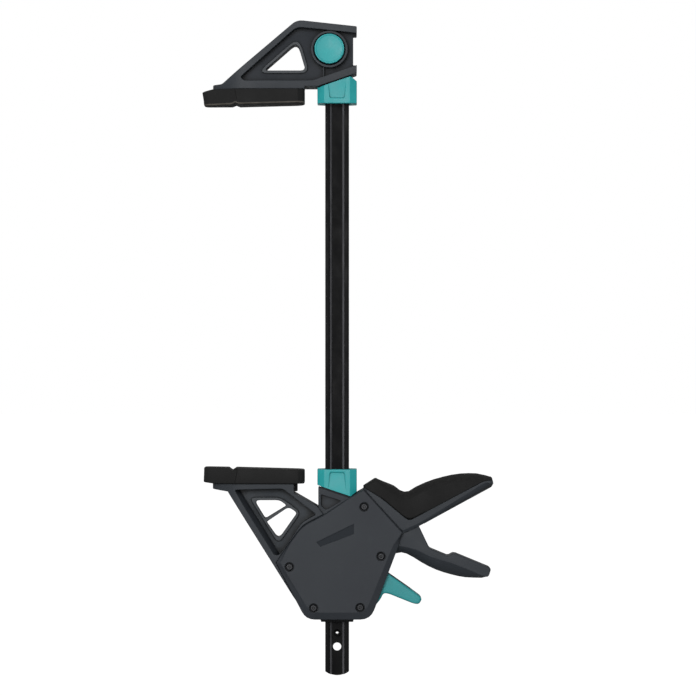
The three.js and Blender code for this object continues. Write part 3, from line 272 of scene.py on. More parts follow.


# Every finish: colours as seen on screen, the dark ones painted into crevices as shade, roughness,
# and how strong each effect is on it. What a finish doesn't say is as usual.
usualLook = {"metallic": 0, "depth": 0.05, "stretch": (1, 1, 1), "marksScale": 200, "dust": 0.03}
finishes = {
    "bodyPlastic": {
        "colour": (50, 54, 59), "patchColour": (46, 50, 55), "wornColour": (84, 88, 93),
        "deepColour": (14, 16, 18), "deepReach": 5, "deep": 0.85, "roughness": 0.55, "spread": 0.12,
        "specular": 0.22, "grainSize": 0.55, "patchSize": 24, "bump": 0.12, "depth": 0.06,
        "edgeRound": 0.8, "wear": 0.32, "stretch": (1, 1, 0.5), "marksScale": 160, "marks": 0.08,
        "dust": 0.05,
    },
    # Painted highlight: a lighter copy of the body plastic for the window lips
    "litLipPlastic": {
        "colour": (62, 66, 70), "patchColour": (57, 61, 65), "wornColour": (88, 92, 96),
        "deepColour": (14, 16, 18), "deepReach": 1, "deep": 0.5, "roughness": 0.5, "spread": 0.1,
        "specular": 0.25, "grainSize": 0.5, "patchSize": 12, "bump": 0.1, "edgeRound": 0.4,
        "wear": 0.3, "marks": 0.08, "dust": 0.04,
    },
    "coverPlastic": {
        "colour": (51, 54, 59), "patchColour": (47, 51, 56), "wornColour": (78, 82, 87),
        "deepColour": (16, 18, 20), "deepReach": 2.2, "deep": 0.75, "roughness": 0.58,
        "spread": 0.1, "specular": 0.22, "grainSize": 0.4, "patchSize": 30, "bump": 0.16,
        "depth": 0.06, "edgeRound": 0.7, "wear": 0.15, "stretch": (1, 1, 0.6), "marksScale": 120,
        "marks": 0.07, "dust": 0.04,
    },
    "recessPlastic": {
        "colour": (41, 45, 50), "patchColour": (38, 42, 47), "wornColour": (66, 70, 75),
        "deepColour": (18, 20, 22), "deepReach": 1.2, "deep": 0.5, "roughness": 0.7, "spread": 0.08,
        "specular": 0.15, "grainSize": 0.7, "patchSize": 16, "bump": 0.3, "depth": 0.08,
        "edgeRound": 0.3, "wear": 0.08, "marks": 0.05, "dust": 0.04,
    },
    "padRubber": {
        "colour": (31, 31, 31), "patchColour": (27, 27, 27), "wornColour": (56, 56, 55),
        "deepColour": (8, 8, 8), "deepReach": 2.5, "deep": 0.6, "roughness": 0.74, "spread": 0.14,
        "specular": 0.18, "grainSize": 0.8, "patchSize": 14, "bump": 0.18, "depth": 0.08,
        "edgeRound": 0.9, "wear": 0.2, "stretch": (1, 0.5, 1), "marksScale": 220, "marks": 0.12,
        "dust": 0.1,
    },
    # The pad's face edge round: a lighter rubber, rub marks with a painted highlight in its colour
    "rubbedLitRubber": {
        "colour": (92, 88, 82), "patchColour": (74, 71, 66), "wornColour": (112, 108, 100),
        "deepColour": (18, 18, 17), "deepReach": 1.5, "deep": 0.5, "roughness": 0.8, "spread": 0.1,
        "specular": 0.15, "grainSize": 0.9, "patchSize": 10, "bump": 0.25, "depth": 0.1,
        "edgeRound": 0.5, "wear": 0.3, "stretch": (1, 0.4, 1), "marksScale": 260, "marks": 0.3,
        "dust": 0.1,
    },
    "gripRubber": {
        "colour": (28, 28, 28), "patchColour": (24, 24, 24), "wornColour": (48, 48, 47),
        "deepColour": (8, 8, 8), "deepReach": 2, "deep": 0.6, "roughness": 0.72, "spread": 0.16,
        "specular": 0.16, "grainSize": 0.65, "patchSize": 18, "bump": 0.2, "depth": 0.07,
        "edgeRound": 0.8, "wear": 0.18, "stretch": (0.6, 1, 1), "marksScale": 180, "marks": 0.1,
        "dust": 0.07,
    },
    "accentPlastic": {
        "colour": (40, 162, 164), "patchColour": (35, 155, 158), "wornColour": (98, 188, 186),
        "deepColour": (18, 72, 74), "deepReach": 1.8, "deep": 0.7, "roughness": 0.45,
        "spread": 0.14, "specular": 0.35, "grainSize": 0.45, "patchSize": 12, "bump": 0.08,
        "edgeRound": 0.6, "wear": 0.2, "marks": 0.05,
    },
    "blackPlastic": {
        "colour": (7, 8, 10), "patchColour": (5, 6, 8), "wornColour": (30, 31, 34),
        "deepColour": (4, 4, 5), "deepReach": 1.5, "deep": 0.6, "roughness": 0.56, "spread": 0.15,
        "specular": 0.12, "grainSize": 0.5, "patchSize": 10, "bump": 0.12, "edgeRound": 0.4,
        "wear": 0.2, "marksScale": 220, "marks": 0.1, "dust": 0.05,
    },
    "blackSteel": {
        "colour": (12, 12, 13), "patchColour": (9, 9, 10), "wornColour": (48, 48, 51),
        "deepColour": (3, 3, 3), "deepReach": 2.5, "deep": 0.7, "roughness": 0.5, "spread": 0.2,
        "specular": 0.07, "grainSize": 0.35, "patchSize": 20, "bump": 0.1, "depth": 0.03,
        "edgeRound": 0.5, "wear": 0.3, "stretch": (1, 1, 0.03), "marksScale": 500, "marks": 0.12,
    },
    "plainSteel": {
        "colour": (150, 152, 155), "patchColour": (128, 130, 134), "wornColour": (196, 198, 200),
        "deepColour": (60, 58, 55), "deepReach": 1, "deep": 0.5, "roughness": 0.34, "spread": 0.2,
        "metallic": 1, "specular": 0.5, "grainSize": 0.3, "patchSize": 8, "bump": 0.08,
        "depth": 0.02, "edgeRound": 0.3, "wear": 0.4, "stretch": (1, 0.08, 1), "marksScale": 700,
        "marks": 0.35, "dust": 0.02,
    },
    "screwSteel": {
        "colour": (50, 51, 54), "patchColour": (40, 41, 44), "wornColour": (104, 106, 110),
        "deepColour": (4, 4, 5), "deepReach": 1.1, "deep": 0.9, "roughness": 0.42, "spread": 0.2,
        "metallic": 0.4, "specular": 0.35, "grainSize": 0.25, "patchSize": 3, "bump": 0.1,
        "depth": 0.02, "edgeRound": 0.25, "wear": 0.5, "marksScale": 900, "marks": 0.25,
    },
}
# Painted shade: near-black rubber for the narrow crease along the pad's side line
finishes["creaseRubber"] = dict(
    finishes["padRubber"], colour=(11, 11, 11), patchColour=(8, 8, 8), wornColour=(16, 16, 16),
)
# Painted highlight: a lighter black steel for the bar's slopes
finishes["rubbedSteel"] = dict(
    finishes["blackSteel"], colour=(100, 100, 103), patchColour=(84, 84, 87),
    wornColour=(128, 128, 131), deepColour=(6, 6, 6), deepReach=2, deep=1,
    roughness=0.42, spread=0.15, specular=0.2, edgeRound=0.4, wear=0.2, marks=0.2, dust=0.02,
)
finishes["leverPlastic"] = dict(
    finishes["accentPlastic"], colour=(50, 149, 151), patchColour=(44, 142, 145),
    wornColour=(92, 174, 172), deepColour=(18, 66, 68), roughness=0.46, specular=0.3,
    bump=0.1, edgeRound=1.1, wear=0.15, marks=0.06,
)
# Painted shade: a darker copy of the body plastic for the fixed jaw's pocket floor
finishes["shadedPocketPlastic"] = dict(
    finishes["bodyPlastic"], colour=(41, 45, 51), patchColour=(37, 41, 47),
    wornColour=(70, 74, 79), deepColour=(12, 14, 16), roughness=0.6, spread=0.1,
    specular=0.18, grainSize=0.6, patchSize=20, bump=0.14, edgeRound=0.5, wear=0.1,
    stretch=(1, 1, 1), marks=0.04,
)
# Painted shade: the body plastic a little bluer for the moving jaw's pocket floor, darkened far in
# from the pocket walls
finishes["shadedArmPocketPlastic"] = dict(
    finishes["bodyPlastic"], colour=(51, 57, 63), patchColour=(47, 53, 59),
    deepColour=(5, 8, 11), deepReach=7, deep=1,
)


def makeFinish(name, look):
    look = {**usualLook, **look}
    material = bpy.data.materials.new(name)
    material.use_nodes = True
    tree = material.node_tree
    shader = placeNode(tree.nodes["Principled BSDF"], lastColumn)
    placeNode(tree.nodes["Material Output"], lastColumn + 2)
    fill(shader, **{"Specular IOR Level": look["specular"], "Metallic": look["metallic"]})
    grain = useGroup(
        tree, "grain", 0, 0, Grain_Size_mm=look["grainSize"], Patch_Size_mm=look["patchSize"],
    )
    edges = useGroup(tree, "edges", 0, 1, Round_mm=look["edgeRound"], Wear=look["wear"])
    paintedCreviceShade = useGroup(tree, "paintedCreviceShade", 0, 4, Reach_mm=look["deepReach"], Amount=look["deep"])
    marks = useGroup(
        tree, "marks", 0, 2, Stretch=look["stretch"], Scale=look["marksScale"],
        Amount=look["marks"],
    )
    dust = useGroup(tree, "dust", 0, 3, Amount=look["dust"])
    patchShare = addRange(tree, 2, 0, grain.outputs["Patches"], low=0.35, high=0.65)
    patchColour, mainColour = fromScreen(*look["patchColour"]), fromScreen(*look["colour"])
    base = mixColour(tree, 3, 0, patchShare, patchColour, mainColour)
    worn = fromScreen(*look["wornColour"])
    edged = mixColour(tree, 4, 0, edges.outputs["Mask"], base, worn)
    marked = mixColour(tree, 5, 0, marks.outputs["Mask"], edged, worn)
    dusty = mixColour(tree, 6, 0, dust.outputs["Mask"], marked, fromScreen(*dustColour))
    # the painted shade colour, mixed in where the surface is closed in
    deep = fromScreen(*look["deepColour"])
    shaded = mixColour(tree, 7, 0, paintedCreviceShade.outputs["Mask"], dusty, deep)
    tree.links.new(shaded, shader.inputs["Base Color"])
    spread = addMath(tree, "MULTIPLY", 3, 1, patchShare, look["spread"])
    level = addMath(tree, "ADD", 4, 1, spread, look["roughness"] - look["spread"] / 2)
    scuffed = addMath(tree, "MULTIPLY", 4, 2, marks.outputs["Mask"], effectShares["markRoughness"])
    dulled = addMath(tree, "MULTIPLY", 4, 3, dust.outputs["Mask"], effectShares["dustRoughness"])
    rougher = addMath(tree, "ADD", 5, 1, level, scuffed)
    final = addMath(tree, "ADD", 6, 1, rougher, dulled, clamp=True)
    tree.links.new(final, shader.inputs["Roughness"])
    scratched = addMath(tree, "MULTIPLY", 4, 4, marks.outputs["Mask"], -effectShares["markDepth"])
    height = addMath(tree, "ADD", 5, 4, grain.outputs["Height"], scratched)
    depth = look["depth"] * millimetre
    bump = fill(addNode(tree, "Bump", 6, 4), Strength=look["bump"], Distance=depth)
    tree.links.new(height, bump.inputs["Height"])
    tree.links.new(edges.outputs["Normal"], bump.inputs["Normal"])
    tree.links.new(bump.outputs["Normal"], shader.inputs["Normal"])
    return material


materials = {name: makeFinish(name, look) for name, look in finishes.items()}
print("finishes made:", len(materials))


# Mesh helpers. A piece is drawn in millimetres and gets its place when it is finished.
touch = 0.01
weld = 0.001


def edgesOf(faces):
    return list(dict.fromkeys(edge for face in faces for edge in face.edges))


def vertsOf(faces):
    return list(dict.fromkeys(vert for face in faces for vert in face.verts))


def sortOut(items, kind):
    return [item for item in items if isinstance(item, kind)]


def edgesAmong(items, verts):
    edges = sortOut(items, bmesh.types.BMEdge)
    return [edge for edge in edges if set(edge.verts) <= set(verts)]


def pull(bm, faces, along):
    made = bmesh.ops.extrude_face_region(bm, geom=faces + edgesOf(faces))
    moved = sortOut(made["geom"], bmesh.types.BMVert)
    bmesh.ops.translate(bm, vec=along, verts=moved)
    return moved


# An outline in X and Z, pulled along Y from near to far
def addPlate(bm, outline, near, far):
    verts = [bm.verts.new((x, near, z)) for x, z in outline]
    return verts + pull(bm, [bm.faces.new(verts)], (0, far - near, 0))


def bevelEdges(bm, edges, width, segments, clamp=False, material=-1):
    bmesh.ops.bevel(
        bm, geom=edges, offset=width, segments=segments, profile=0.5, affect="EDGES",
        clamp_overlap=clamp, material=material,
    )


def roundEdges(bm, isChosen, width, segments):
    bevelEdges(bm, [edge for edge in bm.edges if isChosen(edge)], width, segments, clamp=True)


def addBlock(bm, low, high, rounding):
    size = [b - a for a, b in zip(low, high)]
    middle = [(a + b) / 2 for a, b in zip(low, high)]
    place = Matrix.Translation(middle) @ Matrix.Diagonal((*size, 1))
    block = bmesh.ops.create_cube(bm, size=1, matrix=place)["verts"]
    edges = dict.fromkeys(edge for vert in block for edge in vert.link_edges)
    bevelEdges(bm, list(edges), rounding, segments=2)


# A profile of (radius, level behind the front) turned round a line along Y
def addTurned(bm, profile, centre, steps, front=0):
    x, z = centre
    verts = [bm.verts.new((x + radius, front + level, z)) for radius, level in profile]
    edges = [bm.edges.new(pair) for pair in zip(verts, verts[1:])]
    bmesh.ops.spin(
        bm, geom=verts + edges, cent=(x, 0, z), axis=(0, 1, 0), angle=math.radians(360),
        steps=steps, use_merge=True,
    )


# The faces are cut where a plane goes through them, and stay on both sides of it
def cutFaces(bm, faces, place, way):
    return bmesh.ops.bisect_plane(
        bm, geom=faces + edgesOf(faces) + vertsOf(faces), dist=0.0001, plane_co=place, plane_no=way,
    )["geom"]


def middleOf(edge):
    return (edge.verts[0].co + edge.verts[1].co) / 2


def runsAlong(edge, axis):
    way = (edge.verts[1].co - edge.verts[0].co).normalized()
    return abs(way[axis]) > 0.999


def isSharp(edge, degrees):
    return len(edge.link_faces) == 2 and edge.calc_face_angle() > math.radians(degrees)


def liesAt(edge, axis, level, slack=0.02):
    return all(abs(vert.co[axis] - level) < slack for vert in edge.verts)


def isOnSide(edge, half):
    return liesAt(edge, 1, half) or liesAt(edge, 1, -half)


def openEdges(bm):
    return [edge for edge in bm.edges if len(edge.link_faces) == 1]


def vertsNear(bm, point):
    return [vert for vert in bm.verts if (vert.co.xz - Vector(point)).length < touch]


# The edges along Y get vertices on their way, so that the plate's sides can be rolled over
def divideAcross(bm, cuts):
    across = [edge for edge in bm.edges if runsAlong(edge, 1)]
    bmesh.ops.subdivide_edges(bm, edges=across, cuts=cuts, use_grid_fill=True)


def placeOn(body):
    drop = 0 if body in ("fixed_side", "lock_button") else -restOpening
    return Matrix.Scale(millimetre, 4) @ Matrix.Translation((barAxisX, 0, drop))


def finishPiece(bm, name, body, nodeName, finish, flip=False, smooth=32):
    bmesh.ops.remove_doubles(bm, verts=bm.verts, dist=weld)
    if flip:
        bmesh.ops.scale(bm, vec=(1, 1, -1), verts=bm.verts)
    bmesh.ops.transform(bm, matrix=placeOn(body), verts=bm.verts)
    bmesh.ops.recalc_face_normals(bm, faces=bm.faces)
    return hangPiece(bm, name, body, nodeName, finish, smooth)


def hangPiece(bm, name, body, nodeName, finish, smooth):
    for face in bm.faces:
        face.smooth = True
    for edge in bm.edges:
        edge.smooth = not isSharp(edge, smooth)
    mesh = bpy.data.meshes.new(name)
    bm.to_mesh(mesh)
    bm.free()
    piece = bpy.data.objects.new(name, mesh)
    bpy.context.collection.objects.link(piece)
    mesh.materials.append(materials[finish])
    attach(piece, body)
    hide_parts(nodeName)
    return piece


# In softened copies: how far vertices are welded and faces merged (metres, degrees), how much
# longer than its bevel an edge has to be, and what counts as a fold (area, cosine, radians)
softening = {
    "weld": 0.000005, "flat": 0.8, "sharp": 35, "segments": 2, "sharpPasses": 3, "tries": 5,
    "reach": 3, "room": 1.1, "sharedRoom": 2.2, "leastTangent": 0.01, "leastSine": 0.05,
    "foldArea": 4e-9, "foldCosine": 0.3, "foldAngle": 2.9, "shadingWeight": 100,
}


# An edge has room for its bevel when the edges next to it are longer than what the bevel takes
def hasRoom(edge, sharp, width):
    v = softening
    for vert in edge.verts:
        way = edge.other_vert(vert).co - vert.co
        for other in vert.link_edges:
            if other is edge:
                continue
            turn = way.angle(other.other_vert(vert).co - vert.co, 0)
            if other in sharp:
                taken = width / max(math.tan(turn / 2), v["leastTangent"])
                shorter = min(other.calc_length(), edge.calc_length())
                isShared = set(edge.link_faces) & set(other.link_faces)
                if isShared and shorter < v["sharedRoom"] * taken:
                    return False
            else:
                isCrowded = any(third in sharp for third in other.other_vert(vert).link_edges)
                taken = width / max(math.sin(turn), v["leastSine"])
                if other.calc_length() < v["sharedRoom" if isCrowded else "room"] * taken:
                    return False
    return True


def foldedPlaces(bm):
    places = []
    for loops in bm.calc_loop_triangles():
        a, b, c = (loop.vert.co for loop in loops)
        across = (b - a).cross(c - a)
        agreement = across.normalized().dot(loops[0].face.normal)
        if across.length > softening["foldArea"] and agreement < softening["foldCosine"]:
            places += [a.copy(), b.copy(), c.copy()]
    for edge in bm.edges:
        if len(edge.link_faces) == 2 and edge.calc_face_angle() > softening["foldAngle"]:
            if min(face.calc_area() for face in edge.link_faces) > softening["foldArea"]:
                places += [vert.co.copy() for vert in edge.verts]
    return places


# A moulding of the frame with softened edges: its loose triangles are merged into faces first,
# and where the bevel still folds over itself the edges round that place are left out
def softenedCopy(nodeName, name, body, slotName, finish, width, smooth=24):
    v = softening
    bm = bmesh.new()
    bm.from_mesh(cadNodes[nodeName].data)
    bmesh.ops.remove_doubles(bm, verts=bm.verts, dist=v["weld"])
    flat = math.radians(v["flat"])
    bmesh.ops.dissolve_limit(bm, angle_limit=flat, verts=bm.verts, edges=bm.edges)
    bmesh.ops.connect_verts_concave(bm, faces=bm.faces)
    bm.normal_update()
    width = width * millimetre
    sharp = {edge for edge in bm.edges if isSharp(edge, v["sharp"]) and edge.is_convex}
    for turn in range(v["sharpPasses"]):
        sharp = {edge for edge in sharp if hasRoom(edge, sharp, width)}
    bm.edges.index_update()
    bm.edges.ensure_lookup_table()
    chosen = {edge.index for edge in sharp}
    reach = v["reach"] * width
    for turn in range(v["tries"]):
        trial = bm.copy()
        trial.edges.ensure_lookup_table()
        bevelEdges(trial, [trial.edges[index] for index in chosen], width, v["segments"])
        trial.normal_update()
        places = foldedPlaces(trial)
        near = {
            index for index in chosen for vert in bm.edges[index].verts
            if any((vert.co - place).length < reach for place in places)
        }
        if turn == v["tries"] - 1 or not near:
            break
        chosen -= near
        trial.free()
    bm.free()
    piece = hangPiece(trial, name, body, nodeName, finish, smooth)
    even = piece.modifiers.new("evenShading", "WEIGHTED_NORMAL")
    even.mode = "FACE_AREA"
    even.weight = v["shadingWeight"]
    even.keep_sharp = True
    return piece


# Pads: drawn as the upper one, face down at Z = 0
padValues = {
    "heelX": -26.6, "length": 82.2, "thickness": 12,
    "plan": [(0, 14), (5.3, 18), (54.3, 18), (61.2, 15.3), (82.2, 10)],  # along, half width
    "heelRound": (2.5, 4), "tipRound": (5, 5), "faceRound": (1.15, 3), "topRound": (0.7, 2),
    "sideLineSlant": 2.5, "notchWidth": 6.2, "notchEnd": 3.2, "toeSlope": 0.027, "faceDrop": 0.15,
    "tipBevelLength": 7.3, "socketInset": 6.8, "socketDepth": 5.4, "outerRim": 4.5,
    "clip": ((-35, -6, 6), (-32.4, 6, 18.7)), "clipRound": 0.5,
    "rimFacing": 0.7, "sideFacing": 0.05, "rubbedLitFacing": (-0.97, -0.2),
    "creaseWidth": 0.35, "creaseLength": 1, "creaseReach": 0.5, "creaseAngles": (0.2, 0.6),
}


def levelsOf(face):
    return [vert.co.z for vert in face.verts]


# The block with its socket and its upright corners rounded
def makePadBlock(bm, tipX, shoulder):
    v = padValues
    half = [(v["heelX"] - along, y) for along, y in v["plan"]]
    outline = half + [(x, -y) for x, y in reversed(half)]
    face = bm.faces.new([bm.verts.new((x, y, 0)) for x, y in outline])
    for vert in pull(bm, [face], (0, 0, v["thickness"])):
        vert.co.x -= v["sideLineSlant"] * (abs(vert.co.x - shoulder) < touch)
    bmesh.ops.recalc_face_normals(bm, faces=bm.faces)
    socket = max(bm.faces, key=lambda face: face.normal.z)
    bmesh.ops.inset_region(bm, faces=[socket], thickness=v["socketInset"], use_even_offset=True)
    pull(bm, [socket], (0, 0, -v["socketDepth"]))
    for x, rounding in ((v["heelX"], v["heelRound"]), (tipX, v["tipRound"])):
        roundEdges(bm, lambda edge: runsAlong(edge, 2) and liesAt(edge, 0, x), *rounding)


# The notch, the slant of the face and the bevelled tip
def shapePadFaces(bm, tipX, notchX, shape):
    v = padValues
    notchDepth, tipSlant, tipDrop = shape
    thickness = v["thickness"]
    bevelEnd = tipX + v["tipBevelLength"]
    across, upward = (1, 0, 0), (0, 0, 1)
    cuts = [(bevelEnd, across, thickness), (v["notchEnd"], upward, thickness)]
    cuts += [(notchX + v["notchWidth"] * share, across, v["notchEnd"]) for share in (-0.5, 0, 0.5)]
    for place, way, reach in cuts:
        faces = [face for face in bm.faces if max(levelsOf(face)) < reach + touch]
        cutFaces(bm, faces, Vector(way) * place, way)
    middle = v["heelX"] - v["length"] / 2
    for vert in bm.verts:
        x, z = vert.co.x, vert.co.z
        tipShare = max(0, bevelEnd - x) / v["tipBevelLength"]
        vert.co.x -= tipShare * tipSlant * z / thickness
        if z < touch:
            notchShare = max(0, 1 - abs(x - notchX) / (v["notchWidth"] / 2))
            vert.co.z += (x - middle) * v["toeSlope"] + notchDepth * notchShare - v["faceDrop"]
        elif z > thickness - touch:
            vert.co.z -= tipShare * tipDrop
    bmesh.ops.recalc_face_normals(bm, faces=bm.faces)


def isPadRim(edge, way):
    facing = [face.normal.z * way > padValues["rimFacing"] for face in edge.link_faces]
    return len(facing) == 2 and facing[0] != facing[1]


def isPadOutside(edge):
    return any(min(levelsOf(face)) < padValues["outerRim"] for face in edge.link_faces)


def makePad(name, body, nodeName, tip, rubbed, flip):
    v = padValues
    tipX = v["heelX"] - v["length"]
    notchX = tipX + tip[0]
    shoulderAlong, shoulderHalf = v["plan"][2]
    shoulder = v["heelX"] - shoulderAlong
    bm = bmesh.new()
    makePadBlock(bm, tipX, shoulder)
    shapePadFaces(bm, tipX, notchX, tip[1:])
    roundEdges(bm, lambda edge: isPadRim(edge, -1), *v["faceRound"])
    roundEdges(bm, lambda edge: isPadRim(edge, 1) and isPadOutside(edge), *v["topRound"])
    bmesh.ops.recalc_face_normals(bm, faces=bm.faces)
    # On the fixed jaw's pad the face edge round, facing down, gets the lighter rubber: rub marks
    # and a painted highlight
    flattest, steepest = v["rubbedLitFacing"]
    for face in bm.faces:
        isNear = abs(face.calc_center_median().x - notchX) < v["notchWidth"]
        isInNotch = isNear and abs(face.normal.y) < v["sideFacing"]
        face.material_index = int(rubbed and flattest < face.normal.z < steepest and not isInNotch)
    creaseStart = v["notchEnd"] if abs(shoulder - notchX) < v["notchWidth"] / 2 else 0
    least, most = v["creaseAngles"]
    # The side line's crease gets a narrow band of near-black rubber, painted shade
    crease = [
        edge for edge in bm.edges
        if edge.calc_length() > v["creaseLength"]
        and abs(middleOf(edge).y) > shoulderHalf - v["creaseReach"]
        and abs(middleOf(edge).x - shoulder) < v["sideLineSlant"]
        and least < edge.calc_face_angle() < most and middleOf(edge).z > creaseStart
    ]
    bevelEdges(bm, crease, v["creaseWidth"], segments=1, material=2)
    addBlock(bm, *v["clip"], v["clipRound"])
    pad = finishPiece(bm, name, body, nodeName, "padRubber", flip)
    pad.data.materials.append(materials["rubbedLitRubber"])
    pad.data.materials.append(materials["creaseRubber"])


# Before the two switches: how far the notch is from the tip, the notch's depth, how far the tip's
# jaw side reaches out, and the drop of its bevel
makePad("fixedJawPad", "fixed_side", "fixed_jaw_pad", (25.8, 1.3, 1.5, 2.1), True, False)
makePad("movingJawPad", "carriage", "moving_jaw_pad", (22.9, 2.1, 0.4, 0.9), False, True)
print("pads made")


# The two jaws and the guide collars, softened from the frame
jawValues = {"edge": 0.4, "levelSlack": 0.03, "flatFacing": 0.98}
collarRows = [
    ("upper_collar", "upperCollar", "fixed_side", "turquoise_plastic", "accentPlastic", 0.4),
    ("lower_collar", "lowerCollar", "carriage", "turquoise_plastic", "accentPlastic", 0.4),
    ("lower_bar_bush", "lowerBarBush", "carriage", "black_plastic", "blackPlastic", 0.25),
]


# The levels, from the middle, of the faces that have a finish of their own
def makeJaw(nodeName, name, body, levels):
    piece = softenedCopy(nodeName, name, body, "body_plastic", "bodyPlastic", jawValues["edge"])
    for index, (finish, level) in enumerate(levels.items(), 1):
        piece.data.materials.append(materials[finish])
        for face in piece.data.polygons:
            off = abs(abs(face.center.y) / millimetre - level)
            if abs(face.normal.y) > jawValues["flatFacing"] and off < jawValues["levelSlack"]:
                face.material_index = index


# The lips get a painted highlight and the pocket floors painted shade, each a copy of the body
# plastic
makeJaw("fixed_jaw", "fixedJaw", "fixed_side", {"litLipPlastic": 8.65, "shadedPocketPlastic": 7.05})
makeJaw("moving_jaw_body", "movingJawBody", "carriage", {"litLipPlastic": 6.6, "shadedArmPocketPlastic": 5})
for collarRow in collarRows:
    softenedCopy(*collarRow)
print("jaws and collars made")


# Cover: softened, with its shallow field in a duller finish
coverValues = {"edge": 0.35, "smooth": 12, "fieldLevel": -16.5, "levelSlack": 0.02, "fieldArea": 30}


def makeCover():
    v = coverValues
    piece = softenedCopy(
        "front_cover", "frontCover", "carriage", "body_plastic", "coverPlastic", v["edge"],
        v["smooth"],
    )
    piece.data.materials.append(materials["recessPlastic"])
    for face in piece.data.polygons:
        isAtLevel = abs(face.center.y / millimetre - v["fieldLevel"]) < v["levelSlack"]
        if isAtLevel and face.area / millimetre ** 2 > v["fieldArea"]:
            face.material_index = 1


makeCover()
print("cover made")


# Bar: the slopes between its flanges and its web get a lighter steel, a painted highlight
barValues = {
    "edge": 0.2, "litSlopeFrom": 3.5, "litSlopeTo": 8.6, "slopeFacing": (0.1, 0.95), "endFacing": 0.3,
}
stopPinValues = {
    "centre": (0, -432.4), "steps": 32,
    # radius, level; the last two lie in the bar's web, where the pin fills its hole
    "end": [(1.35, 5.9), (1.6, 6.2), (2.0, 6.2), (2.3, 6.0), (2.38, 5.7), (2.38, 1.9), (2.63, 1.4)],
}


def makeBar():
    v = barValues
    piece = softenedCopy("bar", "steelBar", "fixed_side", "black_steel", "blackSteel", v["edge"])
    piece.data.materials.append(materials["rubbedSteel"])
    least, most = v["slopeFacing"]
    for face in piece.data.polygons:
        side = abs(face.center.x / millimetre - barAxisX)
        isSlope = least < abs(face.normal.y) < most and abs(face.normal.z) < v["endFacing"]
        if isSlope and v["litSlopeFrom"] < side < v["litSlopeTo"]:
            face.material_index = 1


def makeStopPin():
    v = stopPinValues
    bm = bmesh.new()
    front = [(radius, -level) for radius, level in v["end"]]
    addTurned(bm, front + v["end"][::-1] + front[:1], v["centre"], v["steps"])
    finishPiece(bm, "endStopPin", "fixed_side", "end_stop_pin", "blackSteel")


makeBar()
makeStopPin()
print("bar made")


# Lock button: a dished disc with a raised rim, and the yoke behind it
buttonValues = {
    "centre": (-6.3, 44.8), "front": -16.2, "steps": 64,
    # radius, level behind the front
    "disc": [
        (0, 0.4), (10.5, 0.4), (10.8, 0.32), (11, 0.1), (11.25, 0), (11.7, 0), (11.98, 0.12),
        (12.1, 0.5), (12.1, 4), (0, 4),
    ],
    "yoke": [((-13.4, -13.0, 39.6), (-10.2, 8.4, 49.6)), ((-13.1, 5.4, 39.9), (4.8, 8.1, 49.3))],
    "yokeRound": 0.4,
}


def makeButton():
    v = buttonValues
    bm = bmesh.new()
    addTurned(bm, v["disc"], v["centre"], v["steps"], v["front"])
    for low, high in v["yoke"]:
        addBlock(bm, low, high, v["yokeRound"])
    finishPiece(
        bm, "lockButton", "lock_button", "lock_button", "accentPlastic",
    )


makeButton()
print("lock button made")


# Handle: the soft saddle. The whole handle is rolled over from its top line,
# and what lies below the line where the saddle meets the frame is cut off.
gripValues = {
    "outline": [
        # each point with the width and the depth of its roll
        ((21.4, -14.5), 2.6, 2.6), ((30.6, -8.6), 2.6, 2.6), ((32.0, -8.4), 2.6, 2.6),
        ((43.6, -12.9), 6.5, 14), ((46.6, -14.2), 7.5, 14), ((51.4, -17.9), 7.5, 14),
        ((55.1, -19.2), 7.5, 14), ((58.6, -18.8), 7.5, 14), ((64.6, -15.1), 7.5, 14),
        ((71.7, -11.8), 7.5, 14), ((79.0, -9.1), 7.5, 14), ((86.9, -6.9), 7.5, 14),
        ((94.0, -5.3), 7.5, 14), ((101.3, -4.3), 7.5, 14), ((108.0, -4.0), 7.5, 14),
        ((114.2, -4.2), 7.5, 14), ((121.0, -5.6), 6, 14), ((126.4, -7.3), 2.6, 2.6),
        ((127.6, -12.6), 2.6, 2.6), ((124.0, -18.0), 2.6, 2.6), ((67.0, -48.0), 2.6, 2.6),
        ((54.0, -52.0), 2.6, 2.6), ((38.0, -42.0), 2.6, 2.6), ((23.0, -26.0), 2.6, 2.6),
    ],
    "meets": [
        (12.8, -11.1), (23.4, -15.9), (36.1, -23.6), (51.5, -36.4), (54.2, -38.6), (56.8, -40.3),
        (59.0, -40.8), (61.4, -40.4), (64.0, -39.4), (72.0, -35.15), (119.1, -10.1),
        (140.6, -6.6),
    ],
    "halfDepth": 14, "rollSteps": 19, "hollow": (36.1, 72), "hollowWall": 2.4, "hollowHeight": 8,
}


# The way into the outline at each corner, for a roll one unit wide
def inward(points):
    ways = []
    for before, point, after in zip(points[-1:] + points[:-1], points, points[1:] + points[:1]):
        sides = [Vector((way.y, -way.x)).normalized() for way in (point - before, after - point)]
        middle = (sides[0] + sides[1]).normalized()
        ways.append(middle / max(middle.dot(sides[0]), 0.5))
    return ways


def rollGrip(bm, points):
    half = gripValues["halfDepth"]
    for (point, width, depth), way in zip(gripValues["outline"], inward(points)):
        for vert in vertsNear(bm, point):
            vert.co.y = half * math.sin(math.pi / 2 * max(-1, min(1, vert.co.y / half)))
            share = max(0, 1 - (half - abs(vert.co.y)) / depth)
            inset = width * (1 - math.sqrt(max(0, 1 - share ** 2)))
            vert.co.x += way.x * inset
            vert.co.z += way.y * inset


